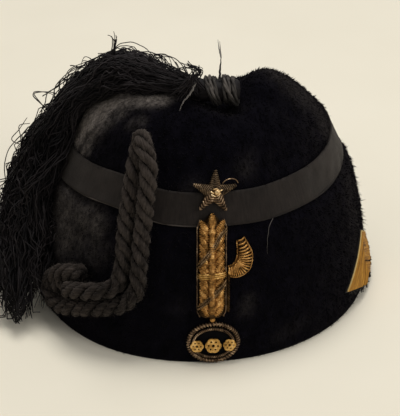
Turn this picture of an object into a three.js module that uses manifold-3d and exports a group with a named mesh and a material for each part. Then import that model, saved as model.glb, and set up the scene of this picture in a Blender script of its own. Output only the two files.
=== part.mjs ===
// A soft black plush fez, lying as it rests on a table: a slumped crown with a grosgrain ribbon,
// a long thread tassel bound at the top and falling over the wearer's right side, a doubled and
// knotted cord tacked beside it, a gilt bullion badge at the front and a lace chevron at the side.
// Millimetres, +Z up, and the front of the cap faces -Y. An azimuth is in degrees: 0 at +X, 90 at
// +Y. A lift is a distance off the crown's outer surface, along its normal.
import * as THREE from "three";
import { mergeVertices } from "three/addons/utils/BufferGeometryUtils.js";
import Module from "manifold-3d";

const wasm = await Module();
wasm.setup();

// ---------------------------------------------------------------- driving dimensions
const SEAT_GAP = 0.35; // clearance between pieces that lie on each other
const FELT_THICKNESS = 3;

// The crown's outer surface, from the rim up to the point where the top is gathered. Each section
// is two half ellipses that meet at widestY, and its height runs from front over side to back.
const CROWN_SECTIONS = [
  { at: "rim", halfX: 88, frontY: -98, backY: 86, widestY: 0, frontZ: 0, sideZ: 0, backZ: 0 },
  { at: "swell", halfX: 87.4, frontY: -97, backY: 86, widestY: 0, frontZ: 14, sideZ: 14, backZ: 13 },
  { at: "belly", halfX: 84, frontY: -93, backY: 83, widestY: 0, frontZ: 36, sideZ: 36, backZ: 31 },
  { at: "over belly", halfX: 77.8, frontY: -87, backY: 76, widestY: 0, frontZ: 57, sideZ: 58, backZ: 49 },
  { at: "ribbon foot", halfX: 72, frontY: -81.8, backY: 70, widestY: 0, frontZ: 66.5, sideZ: 67, backZ: 57 },
  { at: "ribbon head", halfX: 65.2, frontY: -76, backY: 65, widestY: 0, frontZ: 83, sideZ: 83, backZ: 70 },
  { at: "shoulder", halfX: 59, frontY: -67, backY: 53, widestY: -3, frontZ: 99.5, sideZ: 96, backZ: 80 },
  { at: "brow", halfX: 49, frontY: -58, backY: 41, widestY: -6, frontZ: 109.5, sideZ: 105, backZ: 87 },
  { at: "crest", halfX: 38, frontY: -48, backY: 26, widestY: -11, frontZ: 115, sideZ: 111, backZ: 94 },
  { at: "top", halfX: 22, frontY: -37, backY: 0, widestY: -17, frontZ: 116, sideZ: 112.5, backZ: 104 },
  { at: "gather", halfX: 0, frontY: -22, backY: -22, widestY: -22, frontZ: 112, sideZ: 112, backZ: 112 },
];
// Humps and dents of the soft top, seen from above. They fade in over the shoulder.
const TOP_FORMS_FROM_Z = 80;
const TOP_FORMS_FADE = 25;
const TOP_FORMS = [
  { at: "right hump", x: 31, y: -19, spread: 16, lift: 8.5 },
  { at: "left hump", x: -34, y: -14, spread: 18, lift: -1.5 },
  { at: "saddle under the tassel's neck", x: 12, y: -36, spread: 13, lift: -9.5 },
  { at: "trough behind the neck", x: 5, y: 2, spread: 20, lift: -11 },
  { at: "fall of the right shoulder", x: 60, y: 10, spread: 12, lift: -6.5 },
];
// Swells and dents of the wall, seen from the side.
const WALL_FORMS = [
  { at: "left front swell", azimuth: -122, z: 4, spreadDegrees: 22, spreadZ: 26, push: 1.8 },
  { at: "dent left of the cord", azimuth: -138, z: 48, spreadDegrees: 12, spreadZ: 16, push: -1.2 },
  { at: "flat of the right side", azimuth: -4, z: 18, spreadDegrees: 28, spreadZ: 26, push: -1.6 },
];
const CROWN_SEGMENTS = 60;
const CROWN_RINGS = 22;

const RIBBON_THICKNESS = 1;
const RIBBON_SEGMENTS = 60;
// The ribbon's lower edge and its height, which sags towards the back.
const RIBBON = { frontZ: 66.6, sideZ: 66, backZ: 55, height: 15.6 };
// Where the ribbon rides higher or lower than that: azimuth, spread in degrees, rise.
const RIBBON_FORMS = [
  { azimuth: -125, spread: 13, rise: 2.5 },
  { azimuth: -162, spread: 12, rise: -1.5 },
];

const CORD_RADIUS = 4.35;
const CORD_SIDES = 8;
const CORD_STEPS = 76;
// The cord's centre line: from the end inside the knot, along the upper leg, up the rear leg, over
// the bight, down the front leg, back along the lower leg, and round the hook that ends it.
const CORD_ROUTE = [
  { azimuth: -135, z: 24.6, lift: 9.2 },
  { azimuth: -125.5, z: 29.5, lift: 8.8 },
  { azimuth: -119.5, z: 33, lift: 7.6 },
  { azimuth: -116.5, z: 37, lift: 5.6 },
  { azimuth: -116, z: 43.3, lift: 4.9 },
  { azimuth: -116, z: 53, lift: 4.8 },
  { azimuth: -117, z: 63.5, lift: 6.1 },
  { azimuth: -117, z: 77.5, lift: 6.2 },
  { azimuth: -117.3, z: 88.5, lift: 5.8 },
  { azimuth: -117.3, z: 95, lift: 5 },
  { azimuth: -116, z: 100.3, lift: 8.2 },
  { azimuth: -112.3, z: 97.8, lift: 13.6 },
  { azimuth: -109, z: 90, lift: 13 },
  { azimuth: -109, z: 80, lift: 10.5 },
  { azimuth: -109.5, z: 67, lift: 7.6 },
  { azimuth: -109.5, z: 55, lift: 5.2 },
  { azimuth: -109, z: 42, lift: 4.8 },
  { azimuth: -109.5, z: 35, lift: 4.8 },
  { azimuth: -112.5, z: 29.3, lift: 4.8 },
  { azimuth: -116.5, z: 25.6, lift: 4.8 },
  { azimuth: -121, z: 23, lift: 4.7 },
  { azimuth: -127, z: 19.6, lift: 4.8 },
  { azimuth: -133, z: 16, lift: 4.8 },
  { azimuth: -139.5, z: 13, lift: 4.9 },
  { azimuth: -144, z: 14.5, lift: 5 },
  { azimuth: -145.5, z: 20.5, lift: 5.1 },
  { azimuth: -143, z: 26.3, lift: 5 },
  { azimuth: -138, z: 30.8, lift: 4.9 },
  { azimuth: -133, z: 33.8, lift: 4.8 },
  { azimuth: -129.5, z: 35.2, lift: 4.7 },
];

// The tassel's neck lies on the gathered top, along X, inside its binding.
const NECK = { y: -37, z: 118, rightX: 20.5, leftX: 0, radius: 5.4, knobRadius: 6.4, knobLength: 2.6 };
const BINDING = { rightX: 19.8, leftX: 2.4, turns: 6, turnDepth: 1.5, grooveShare: 0.35, sides: 16 };
// Centre lines of the front, the middle and the back of the tassel: out of the neck, over the left
// hump and down outside the wall. The locks between them are worked out from these three.
const TASSEL_FRONT = [
  { x: 0, y: -37, z: 118 },
  { x: -9, y: -37, z: 118.5 },
  { x: -22, y: -31, z: 119.5 },
  { x: -35, y: -24, z: 118.5 },
  { x: -47, y: -20, z: 113.5 },
  { x: -57, y: -19, z: 104.5 },
  { x: -66, y: -19, z: 94 },
  { x: -73, y: -21, z: 80 },
  { x: -78, y: -29, z: 61 },
  { x: -82, y: -40, z: 43 },
  { x: -84, y: -52, z: 26 },
  { x: -84, y: -68, z: 5.5 },
];
const TASSEL_MIDDLE = [
  { x: 0, y: -37, z: 118 },
  { x: -9, y: -33, z: 119 },
  { x: -22, y: -27, z: 119.5 },
  { x: -36, y: -18, z: 119.5 },
  { x: -47, y: -13, z: 114.5 },
  { x: -57, y: -11, z: 103.5 },
  { x: -68, y: -11, z: 91 },
  { x: -79, y: -13, z: 78.5 },
  { x: -87, y: -19, z: 62 },
  { x: -91, y: -30, z: 44 },
  { x: -93, y: -47, z: 25 },
  { x: -92, y: -68, z: 4.5 },
];
const TASSEL_BACK = [
  { x: 0, y: -37, z: 118 },
  { x: -9, y: -29, z: 118.5 },
  { x: -22, y: -19, z: 118.5 },
  { x: -35, y: -7, z: 116 },
  { x: -46, y: -1, z: 111 },
  { x: -58, y: 1, z: 100 },
  { x: -69, y: 3, z: 85 },
  { x: -79, y: 5, z: 70.5 },
  { x: -88, y: 2, z: 55 },
  { x: -94, y: -8, z: 38 },
  { x: -97, y: -24, z: 21 },
  { x: -98, y: -47, z: 6 },
];
// Each lock's place across the tassel, from 0 at the front to 1 at the back, how far down it
// reaches, and how proud it is.
const TASSEL_LOCKS = [
  { across: 0, reach: 0.955, proud: 0 },
  { across: 0.17, reach: 0.995, proud: 1.5 },
  { across: 0.34, reach: 0.96, proud: 0 },
  { across: 0.5, reach: 1, proud: 1.8 },
  { across: 0.67, reach: 0.95, proud: 0 },
  { across: 0.84, reach: 0.99, proud: 1.5 },
  { across: 1, reach: 0.94, proud: 0 },
];
const LOCK_SECTIONS = [
  { share: 0, halfWidth: 2.8, halfDepth: 2.8 },
  { share: 0.12, halfWidth: 4.4, halfDepth: 3.8 },
  { share: 0.3, halfWidth: 6.2, halfDepth: 5.6 },
  { share: 0.45, halfWidth: 5.8, halfDepth: 4.8 },
  { share: 0.62, halfWidth: 8.2, halfDepth: 7 },
  { share: 0.85, halfWidth: 7.2, halfDepth: 7 },
  { share: 1, halfWidth: 2.6, halfDepth: 2.2 },
];
const LOCK_CLEARANCE = 2.2; // off the felt, so that the locks pass over the ribbon too
const LOCK_STEPS = 15;
const LOCK_SIDES = 8;

// The badge, in the wall's own chart: x across the front, z up it.
const STAR = {
  x: 6.2,
  z: 82.4,
  points: 5,
  radius: 10.3,
  innerRadius: 4.3,
  thickness: 1.6,
  crown: 1,
  tilt: -4,
};
const EAR = { x: 5.2, lowZ: 25, highZ: 73.2, halfWidth: 6.5, height: 4, grains: 12, tipLength: 7 };
const LEAF = {
  route: [
    { x: 12.9, z: 46.6 },
    { x: 16.6, z: 46.6 },
    { x: 19.9, z: 48.6 },
    { x: 20.9, z: 53.5 },
    { x: 18.9, z: 60.5 },
  ],
  halfWidths: [1.6, 3, 3.8, 3.2, 1.4],
  height: 2.4,
};
const STEM = { x: 13.1, lowZ: 27, highZ: 43, radius: 0.9 };
const FOOT = { x: 5.6, z: 23.3, radius: 1.4 };
const MEDALLION = { x: 5.9, z: 11.2, halfWidth: 11.3, halfHeight: 8.3, thickness: 1.1, rimRadius: 1.1 };
const ROSETTES = [
  { name: "rosette_left", x: -1.8, z: 10, radius: 3.3 },
  { name: "rosette_middle", x: 5.9, z: 10.2, radius: 4.1 },
  { name: "rosette_right", x: 13.6, z: 10, radius: 3.3 },
];
const ROSETTE = {
  petals: 6,
  thickness: 0.9,
  scallop: 0.12,
  eyeShare: 0.2,
  holeShare: 0.13,
  holeRing: 0.56,
};

// The lace chevron points up on the wearer's left. Its limbs run down to feet cut square on.
const CHEVRON = {
  peakAzimuth: -13.5,
  footTurn: 19.5,
  heelTurn: 7,
  peakZ: 30.8,
  footZ: 12.6,
  heelZ: 5.2,
  laceDepth: 16.8,
  stripeGap: 1.3,
  stripeDepth: 6.5,
  backingMargin: 0.7,
  backingThickness: 0.5,
  laceThickness: 0.7,
  steps: 6,
};

// ---------------------------------------------------------------- the crown's surface
const radians = THREE.MathUtils.degToRad;

function smoothstep(x) {
  const s = THREE.MathUtils.clamp(x, 0, 1);
  return s * s * (3 - 2 * s);
}

// A height that runs from front over side to back with the azimuth.
function aroundHeight({ frontZ, sideZ, backZ }, azimuth) {
  const s = Math.sin(radians(azimuth));
  return sideZ + ((s < 0 ? frontZ : backZ) - sideZ) * s * s;
}

function sectionPoint(section, azimuth) {
  const c = Math.cos(radians(azimuth));
  const s = Math.sin(radians(azimuth));
  const reachY = s < 0 ? section.widestY - section.frontY : section.backY - section.widestY;
  return new THREE.Vector3(section.halfX * c, section.widestY + reachY * s, aroundHeight(section, azimuth));
}

const meridians = new Map();

function meridianAt(azimuth) {
  if (!meridians.has(azimuth)) {
    const points = CROWN_SECTIONS.map((section) => sectionPoint(section, azimuth));
    meridians.set(azimuth, new THREE.CatmullRomCurve3(points, false, "catmullrom", 0.5));
  }
  return meridians.get(azimuth);
}

function degreesBetween(a, b) {
  return ((((a - b + 180) % 360) + 360) % 360) - 180;
}

// The outer surface: t runs from 0 at the rim to 1 at the gather.
function crownPoint(azimuth, t) {
  const p = meridianAt(azimuth).getPoint(t);
  const highShare = smoothstep((p.z - TOP_FORMS_FROM_Z) / TOP_FORMS_FADE);
  for (const form of TOP_FORMS) {
    const away = ((p.x - form.x) ** 2 + (p.y - form.y) ** 2) / form.spread ** 2;
    p.z += form.lift * highShare * Math.exp(-away);
  }
  for (const form of WALL_FORMS) {
    const turn = degreesBetween(azimuth, form.azimuth) / form.spreadDegrees;
    const rise = (p.z - form.z) / form.spreadZ;
    const push = form.push * Math.exp(-turn * turn - rise * rise);
    p.x += push * Math.cos(radians(azimuth));
    p.y += push * Math.sin(radians(azimuth));
  }
  return p;
}

function crownNormal(azimuth, t) {
  const turn = 0.05;
  const step = 1e-3;
  const around = crownPoint(azimuth + turn, t).sub(crownPoint(azimuth - turn, t));
  const up = crownPoint(azimuth, Math.min(1, t + step)).sub(crownPoint(azimuth, Math.max(0, t - step)));
  return around.cross(up).normalize();
}

// The wall's t at a height, by halving. The wall rises all the way up to the crest.
function wallShare(azimuth, z) {
  const crestShare = 0.8;
  const halvings = 22;
  let low = 0;
  let high = crestShare;
  for (let i = 0; i < halvings; i++) {
    const middle = (low + high) / 2;
    if (crownPoint(azimuth, middle).z < z) low = middle;
    else high = middle;
  }
  return low;
}

function wallPoint(azimuth, z, lift) {
  const t = wallShare(azimuth, z);
  return crownPoint(azimuth, t).addScaledVector(crownNormal(azimuth, t), lift);
}

// ---------------------------------------------------------------- closed bodies from rings
// Consecutive rings of points are joined. The first and the last are closed onto their own middle,
// or onto each other where the body is a loop.
function bodyFromRings(rings, loop = false) {
  const n = rings[0].length;
  const positions = rings.flat().flatMap((p) => [p.x, p.y, p.z]);
  const faces = [];
  const joined = loop ? rings.length : rings.length - 1;
  for (let r = 0; r < joined; r++) {
    const a = r * n;
    const b = ((r + 1) % rings.length) * n;
    for (let i = 0; i < n; i++) {
      const j = (i + 1) % n;
      faces.push(a + i, a + j, b + j, a + i, b + j, b + i);
    }
  }
  if (!loop) {
    closeEnd(positions, faces, rings[0], 0, true);
    closeEnd(positions, faces, rings.at(-1), (rings.length - 1) * n, false);
  }
  const geometry = new THREE.BufferGeometry();
  geometry.setAttribute("position", new THREE.Float32BufferAttribute(positions, 3));
  geometry.setIndex(faces);
  return geometry;
}

function closeEnd(positions, faces, ring, first, reversed) {
  const middle = new THREE.Vector3();
  ring.forEach((p) => middle.add(p));
  middle.divideScalar(ring.length);
  const centre = positions.length / 3;
  positions.push(middle.x, middle.y, middle.z);
  ring.forEach((_, i) => {
    const j = (i + 1) % ring.length;
    faces.push(...(reversed ? [first + j, first + i, centre] : [first + i, first + j, centre]));
  });
}

// ---------------------------------------------------------------- pieces
function crownGeometry() {
  const ringAt = (t, depth) =>
    Array.from({ length: CROWN_SEGMENTS }, (_, i) => {
      const azimuth = (i / CROWN_SEGMENTS) * 360;
      const p = crownPoint(azimuth, t).addScaledVector(crownNormal(azimuth, t), -depth);
      if (t === 0) p.z = 0;
      return p;
    });
  const steps = Array.from({ length: CROWN_RINGS }, (_, i) => i / CROWN_RINGS);
  const inner = steps.map((t) => ringAt(t, FELT_THICKNESS)).reverse();
  const outer = steps.map((t) => ringAt(t, 0));
  return bodyFromRings([...inner, ...outer]);
}

// A band that lies on the wall, between two heights that follow the azimuth.
function bandGeometry({ azimuths, lowZ, highZ, innerLift, outerLift, rows, loop }) {
  const shares = Array.from({ length: rows + 1 }, (_, i) => i / rows);
  const rings = azimuths.map((azimuth) => {
    const low = lowZ(azimuth);
    const rise = highZ(azimuth) - low;
    const inside = shares.map((s) => wallPoint(azimuth, low + rise * s, innerLift));
    const outside = shares.map((s) => wallPoint(azimuth, low + rise * s, outerLift)).reverse();
    return [...inside, ...outside];
  });
  return bodyFromRings(rings, loop);
}

function ribbonGeometry() {
  const lowZ = (azimuth) => RIBBON_FORMS.reduce((z, form) => {
    const turn = degreesBetween(azimuth, form.azimuth) / form.spread;
    return z + form.rise * Math.exp(-turn * turn);
  }, aroundHeight(RIBBON, azimuth));
  return bandGeometry({
    azimuths: Array.from({ length: RIBBON_SEGMENTS }, (_, i) => (i / RIBBON_SEGMENTS) * 360),
    lowZ,
    highZ: (azimuth) => lowZ(azimuth) + RIBBON.height,
    innerLift: SEAT_GAP,
    outerLift: SEAT_GAP + RIBBON_THICKNESS,
    rows: 2,
    loop: true,
  });
}

// ---------------------------------------------------------------- the wall as seen from the front
// The azimuth at which the wall passes through x at a height, on the front half.
function frontAzimuth(x, z) {
  const usualHalfWidth = 80;
  const rounds = 5;
  let azimuth = -90;
  for (let i = 0; i < rounds; i++) {
    const miss = x - wallPoint(azimuth, z, 0).x;
    azimuth += THREE.MathUtils.radToDeg(miss / (usualHalfWidth * Math.sin(radians(-azimuth))));
  }
  return azimuth;
}

function frontPoint(x, z, lift) {
  return wallPoint(frontAzimuth(x, z), z, lift);
}

// A seat is a place on the front wall whose offsets u across and v up are measured along the wall.
function frontSeat(x, z) {
  const azimuth = frontAzimuth(x, z);
  const normal = crownNormal(azimuth, wallShare(azimuth, z));
  const upShare = Math.hypot(normal.x, normal.y);
  return (u, v, lift) => frontPoint(x + u, z + v * upShare, lift);
}

// Badge pieces lie on the felt below the ribbon and step onto the ribbon where they cross it.
function badgeLift(z) {
  const stepFromZ = RIBBON.frontZ - 6;
  const stepRise = 4;
  const overRibbon = smoothstep((z - stepFromZ) / stepRise);
  return SEAT_GAP + overRibbon * (RIBBON_THICKNESS + SEAT_GAP);
}

// ---------------------------------------------------------------- cord, tassel and binding
function tubeGeometry(points, radius, sides, steps) {
  const outline = new THREE.Shape();
  outline.absarc(0, 0, radius, 0, 2 * Math.PI);
  return new THREE.ExtrudeGeometry(outline, {
    steps,
    curveSegments: sides / 2,
    extrudePath: new THREE.CatmullRomCurve3(points, false, "centripetal"),
  });
}

function cordGeometry() {
  const points = CORD_ROUTE.map(({ azimuth, z, lift }) => wallPoint(azimuth, z, lift));
  return tubeGeometry(points, CORD_RADIUS, CORD_SIDES, CORD_STEPS);
}

const SAMPLE_TURN = 5;
const SAMPLE_STEP = 0.02;
const crownSamples = [];
for (let azimuth = 0; azimuth < 360; azimuth += SAMPLE_TURN) {
  for (let t = 0; t < 1; t += SAMPLE_STEP) {
    crownSamples.push({ point: crownPoint(azimuth, t), normal: crownNormal(azimuth, t) });
  }
}

// Moves a point out to a clearance off the crown, and says which way is out there. The way out is
// an average over the samples that are about as near, so that it turns smoothly along a route.
function clearOfCrown(point, clearance) {
  const blend = 8;
  const distances = crownSamples.map((sample) => sample.point.distanceTo(point));
  const shortest = Math.min(...distances);
  const normal = new THREE.Vector3();
  distances.forEach((distance, i) => {
    normal.addScaledVector(crownSamples[i].normal, Math.exp(-(((distance - shortest) / blend) ** 2)));
  });
  normal.normalize();
  const out = point.clone().addScaledVector(normal, Math.max(0, clearance - shortest));
  return { point: out, normal };
}

// The tassel's centre line at a place across it, by a parabola through its three routes.
function tasselRoute(across) {
  const ofFront = 2 * (across - 0.5) * (across - 1);
  const ofMiddle = -4 * across * (across - 1);
  const ofBack = 2 * across * (across - 0.5);
  const points = TASSEL_FRONT.map((front, i) => {
    const point = new THREE.Vector3().addScaledVector(front, ofFront);
    return point.addScaledVector(TASSEL_MIDDLE[i], ofMiddle).addScaledVector(TASSEL_BACK[i], ofBack);
  });
  return new THREE.CatmullRomCurve3(points);
}

function lockSection(share) {
  const next = Math.max(1, LOCK_SECTIONS.findIndex((section) => section.share >= share));
  const a = LOCK_SECTIONS[next - 1];
  const b = LOCK_SECTIONS[next];
  const mix = (share - a.share) / (b.share - a.share);
  return {
    halfWidth: THREE.MathUtils.lerp(a.halfWidth, b.halfWidth, mix),
    halfDepth: THREE.MathUtils.lerp(a.halfDepth, b.halfDepth, mix),
  };
}

function lockGeometry({ across, reach, proud }) {
  const route = tasselRoute(across);
  const rings = Array.from({ length: LOCK_STEPS + 1 }, (_, i) => {
    const share = i / LOCK_STEPS;
    const { halfWidth, halfDepth } = lockSection(share);
    const seat = clearOfCrown(route.getPoint(share * reach), halfDepth + LOCK_CLEARANCE);
    const along = route.getTangent(share * reach);
    const sideways = new THREE.Vector3().crossVectors(along, seat.normal).normalize();
    const outward = new THREE.Vector3().crossVectors(sideways, along);
    const centre = seat.point.addScaledVector(outward, proud * smoothstep(share * 4));
    return Array.from({ length: LOCK_SIDES }, (_, k) => {
      const turn = ((k + 0.5) / LOCK_SIDES) * 2 * Math.PI;
      const p = centre.clone().addScaledVector(sideways, halfWidth * Math.cos(turn));
      return p.addScaledVector(outward, -halfDepth * Math.sin(turn));
    });
  });
  return bodyFromRings(rings);
}

// A solid of revolution about the neck's axis, from a profile of x and radius.
function onNeck(profile, sides) {
  const points = profile.map(([x, radius]) => new THREE.Vector2(radius, x));
  const geometry = new THREE.LatheGeometry(points, sides);
  return geometry.rotateZ(-Math.PI / 2).translate(0, NECK.y, NECK.z);
}

function neckGeometry() {
  const { leftX, rightX, radius, knobRadius, knobLength } = NECK;
  const profile = [
    [leftX - radius, 0],
    [leftX - radius, 2],
    [leftX, radius],
    [rightX, radius],
    [rightX, knobRadius],
    [rightX + knobLength * 0.6, knobRadius],
    [rightX + knobLength, knobRadius * 0.5],
    [rightX + knobLength, 0],
  ];
  return onNeck(profile, 16);
}

function solidOf(geometry) {
  const bare = new THREE.BufferGeometry();
  bare.setAttribute("position", geometry.getAttribute("position"));
  bare.setIndex(geometry.getIndex());
  const merged = mergeVertices(bare, 1e-3);
  const mesh = new wasm.Mesh({
    numProp: 3,
    vertProperties: merged.getAttribute("position").array,
    triVerts: new Uint32Array(merged.getIndex().array),
  });
  return new wasm.Manifold(mesh);
}

function geometryOf(solid) {
  const { vertProperties, triVerts } = solid.getMesh();
  const geometry = new THREE.BufferGeometry();
  geometry.setAttribute("position", new THREE.BufferAttribute(new Float32Array(vertProperties), 3));
  geometry.setIndex(new THREE.BufferAttribute(new Uint32Array(triVerts), 1));
  return geometry;
}

function tasselGeometry() {
  const locks = TASSEL_LOCKS.map((lock) => solidOf(lockGeometry(lock)));
  return geometryOf(locks.reduce((whole, lock) => whole.add(lock), solidOf(neckGeometry())));
}

function bindingGeometry() {
  const { leftX, rightX, turns, turnDepth, grooveShare, sides } = BINDING;
  const innerRadius = NECK.radius + SEAT_GAP;
  const pitch = (rightX - leftX) / turns;
  const turnProfile = [
    [0, grooveShare],
    [0.3, 1],
    [0.7, 1],
  ];
  const outside = [];
  for (let turn = 0; turn < turns; turn++) {
    for (const [share, height] of turnProfile) {
      outside.push([leftX + (turn + share) * pitch, innerRadius + turnDepth * height]);
    }
  }
  outside.push([rightX, innerRadius + turnDepth * grooveShare]);
  const profile = [[leftX, innerRadius], ...outside, [rightX, innerRadius], [leftX, innerRadius]];
  return onNeck(profile, sides);
}

// ---------------------------------------------------------------- badge
// A domed plate: rings of a growing outline underneath, then of a shrinking one on top.
function plateGeometry(seat, outline, lowLift, thickness, dome) {
  const ring = (share, lift) => outline.map(([u, v]) => seat(u * share, v * share, lift));
  const middleShare = 0.05;
  const halfwayShare = 0.55;
  const halfwayDome = 0.7;
  return bodyFromRings([
    ring(middleShare, lowLift),
    ring(halfwayShare, lowLift),
    ring(1, lowLift),
    ring(1, lowLift + thickness),
    ring(halfwayShare, lowLift + thickness + dome * halfwayDome),
    ring(middleShare, lowLift + thickness + dome),
  ]);
}

function starGeometry() {
  const outline = Array.from({ length: 2 * STAR.points }, (_, i) => {
    const turn = radians(90 + STAR.tilt + (i * 180) / STAR.points);
    const radius = i % 2 === 0 ? STAR.radius : STAR.innerRadius;
    return [radius * Math.cos(turn), radius * Math.sin(turn)];
  });
  const lift = badgeLift(STAR.z);
  return plateGeometry(frontSeat(STAR.x, STAR.z), outline, lift, STAR.thickness, STAR.crown);
}

// A relief whose sections stand on the front wall: half-width and height vary along a route.
function reliefGeometry(stations, liftAt) {
  const edgeHeight = 0.3;
  const rings = stations.map(({ x, z, acrossX, acrossZ, halfWidth, height }) => {
    const shares = [-1, -0.5, 0, 0.5, 1];
    const place = (share, lift) => {
      const px = x + acrossX * halfWidth * share;
      const pz = z + acrossZ * halfWidth * share;
      return frontPoint(px, pz, liftAt(pz) + lift);
    };
    const below = shares.map((share) => place(share, 0));
    const above = shares.map((share) => {
      return place(share, edgeHeight + (height - edgeHeight) * Math.sqrt(1 - share * share));
    });
    return [...above, ...below.reverse()];
  });
  return bodyFromRings(rings);
}

function earGeometry() {
  const { x, lowZ, highZ, halfWidth, height, grains, tipLength } = EAR;
  const stations = [];
  for (let i = 0; i <= 2 * grains; i++) {
    const z = lowZ + ((highZ - lowZ) * i) / (2 * grains);
    const tip = Math.min(1, (highZ - z) / tipLength + 0.08);
    const notch = i % 2 === 0 ? 0.9 : 1;
    stations.push({
      x,
      z,
      acrossX: 1,
      acrossZ: 0,
      halfWidth: halfWidth * notch * tip,
      height: height * notch * (0.4 + 0.6 * tip),
    });
  }
  return reliefGeometry(stations, badgeLift);
}

function leafGeometry() {
  const curve = new THREE.CatmullRomCurve3(LEAF.route.map(({ x, z }) => new THREE.Vector3(x, 0, z)));
  const last = LEAF.halfWidths.length - 1;
  const steps = 3 * last;
  const stations = Array.from({ length: steps + 1 }, (_, i) => {
    const share = i / steps;
    const p = curve.getPoint(share);
    const along = curve.getTangent(share);
    const low = Math.min(last - 1, Math.floor(share * last));
    const [before, after] = LEAF.halfWidths.slice(low, low + 2);
    const halfWidth = THREE.MathUtils.lerp(before, after, share * last - low);
    return {
      x: p.x,
      z: p.z,
      acrossX: along.z,
      acrossZ: -along.x,
      halfWidth,
      height: LEAF.height * Math.min(1, 0.3 + halfWidth / 3),
    };
  });
  return reliefGeometry(stations, badgeLift);
}

function stemGeometry() {
  const { x, lowZ, highZ, radius } = STEM;
  const points = [0, 0.5, 1].map((share) => {
    return frontPoint(x, lowZ + (highZ - lowZ) * share, SEAT_GAP + radius);
  });
  return tubeGeometry(points, radius, 8, 6);
}

function footGeometry() {
  const centre = frontPoint(FOOT.x, FOOT.z, SEAT_GAP + FOOT.radius);
  return new THREE.SphereGeometry(FOOT.radius, 12, 8).translate(centre.x, centre.y, centre.z);
}

function ellipseOutline(halfWidth, halfHeight, sides) {
  return Array.from({ length: sides }, (_, i) => {
    const turn = (i / sides) * 2 * Math.PI;
    return [halfWidth * Math.cos(turn), halfHeight * Math.sin(turn)];
  });
}

function medallionGeometry() {
  const { x, z, halfWidth, halfHeight, thickness } = MEDALLION;
  const outline = ellipseOutline(halfWidth, halfHeight, 28);
  return plateGeometry(frontSeat(x, z), outline, SEAT_GAP, thickness, 0);
}

// The bullion coil round the medallion: a ring of round section that lies on the felt.
function rimGeometry() {
  const { x, z, halfWidth, halfHeight, rimRadius } = MEDALLION;
  const seat = frontSeat(x, z);
  const clear = rimRadius + SEAT_GAP;
  const sides = 8;
  const rings = ellipseOutline(1, 1, 36).map(([c, s]) => {
    return Array.from({ length: sides }, (_, k) => {
      const turn = ((k + 0.5) / sides) * 2 * Math.PI;
      const out = clear + rimRadius * Math.cos(turn);
      return seat((halfWidth + out) * c, (halfHeight + out) * s, clear - rimRadius * Math.sin(turn));
    });
  });
  return bodyFromRings(rings, true);
}

// A pierced brass rosette, lying on the medallion's velvet.
function rosetteMesh({ name, x, z, radius }, material) {
  const { petals, thickness, scallop, eyeShare, holeShare, holeRing } = ROSETTE;
  const outline = new THREE.Shape();
  const steps = petals * 4;
  for (let i = 0; i < steps; i++) {
    const turn = (i / steps) * 2 * Math.PI;
    const reach = radius * (1 - scallop + scallop * Math.abs(Math.cos((turn * petals) / 2)));
    if (i === 0) outline.moveTo(reach, 0);
    else outline.lineTo(reach * Math.cos(turn), reach * Math.sin(turn));
  }
  outline.holes.push(new THREE.Path().absarc(0, 0, radius * eyeShare, 0, 2 * Math.PI, true));
  for (let petal = 0; petal < petals; petal++) {
    const turn = (petal / petals) * 2 * Math.PI;
    const hole = new THREE.Path();
    hole.absarc(
      radius * holeRing * Math.cos(turn),
      radius * holeRing * Math.sin(turn),
      radius * holeShare,
      0,
      2 * Math.PI,
      true,
    );
    outline.holes.push(hole);
  }
  const geometry = new THREE.ExtrudeGeometry(outline, {
    depth: thickness,
    bevelEnabled: false,
    curveSegments: 3,
  });
  const mesh = new THREE.Mesh(geometry, material);
  const azimuth = frontAzimuth(x, z);
  const normal = crownNormal(azimuth, wallShare(azimuth, z));
  const flatGap = 0.15; // a flat disc on the round pad rests on the pad's middle line
  mesh.position.copy(wallPoint(azimuth, z, 2 * SEAT_GAP + MEDALLION.thickness + flatGap));
  mesh.quaternion.setFromUnitVectors(new THREE.Vector3(0, 0, 1), normal);
  mesh.name = name;
  return mesh;
}

// ---------------------------------------------------------------- chevron
// The chevron's upper edge falls from the peak to the feet, and its feet are cut along the lines
// from the foot corners to the heels. A strip of it lies between two depths below the upper edge.
function chevronStrip({ topDepth, bottomDepth, margin, innerLift, thickness }) {
  const { peakAzimuth, footTurn, heelTurn, peakZ, footZ, heelZ, steps } = CHEVRON;
  const fall = (peakZ - footZ) / footTurn;
  const rise = (footZ - heelZ) / (footTurn - heelTurn);
  const turnAt = (azimuth) => Math.abs(azimuth - peakAzimuth);
  const topZ = (azimuth) => peakZ - fall * turnAt(azimuth) - topDepth + margin;
  const bottomZ = (azimuth) => {
    const belowTop = topZ(azimuth) - (bottomDepth - topDepth) - 2 * margin;
    const cut = footZ - rise * (footTurn - turnAt(azimuth)) - margin;
    return Math.max(belowTop, cut);
  };
  // The strip ends just before its top edge meets the foot's cut.
  const endMargin = 0.3;
  const endTurn = (peakZ - topDepth - footZ + rise * footTurn + 2 * margin) / (fall + rise) - endMargin;
  return bandGeometry({
    azimuths: Array.from({ length: 2 * steps + 1 }, (_, i) => {
      return peakAzimuth + (endTurn * (i - steps)) / steps;
    }),
    lowZ: bottomZ,
    highZ: topZ,
    innerLift,
    outerLift: innerLift + thickness,
    rows: 3,
    loop: false,
  });
}

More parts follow.
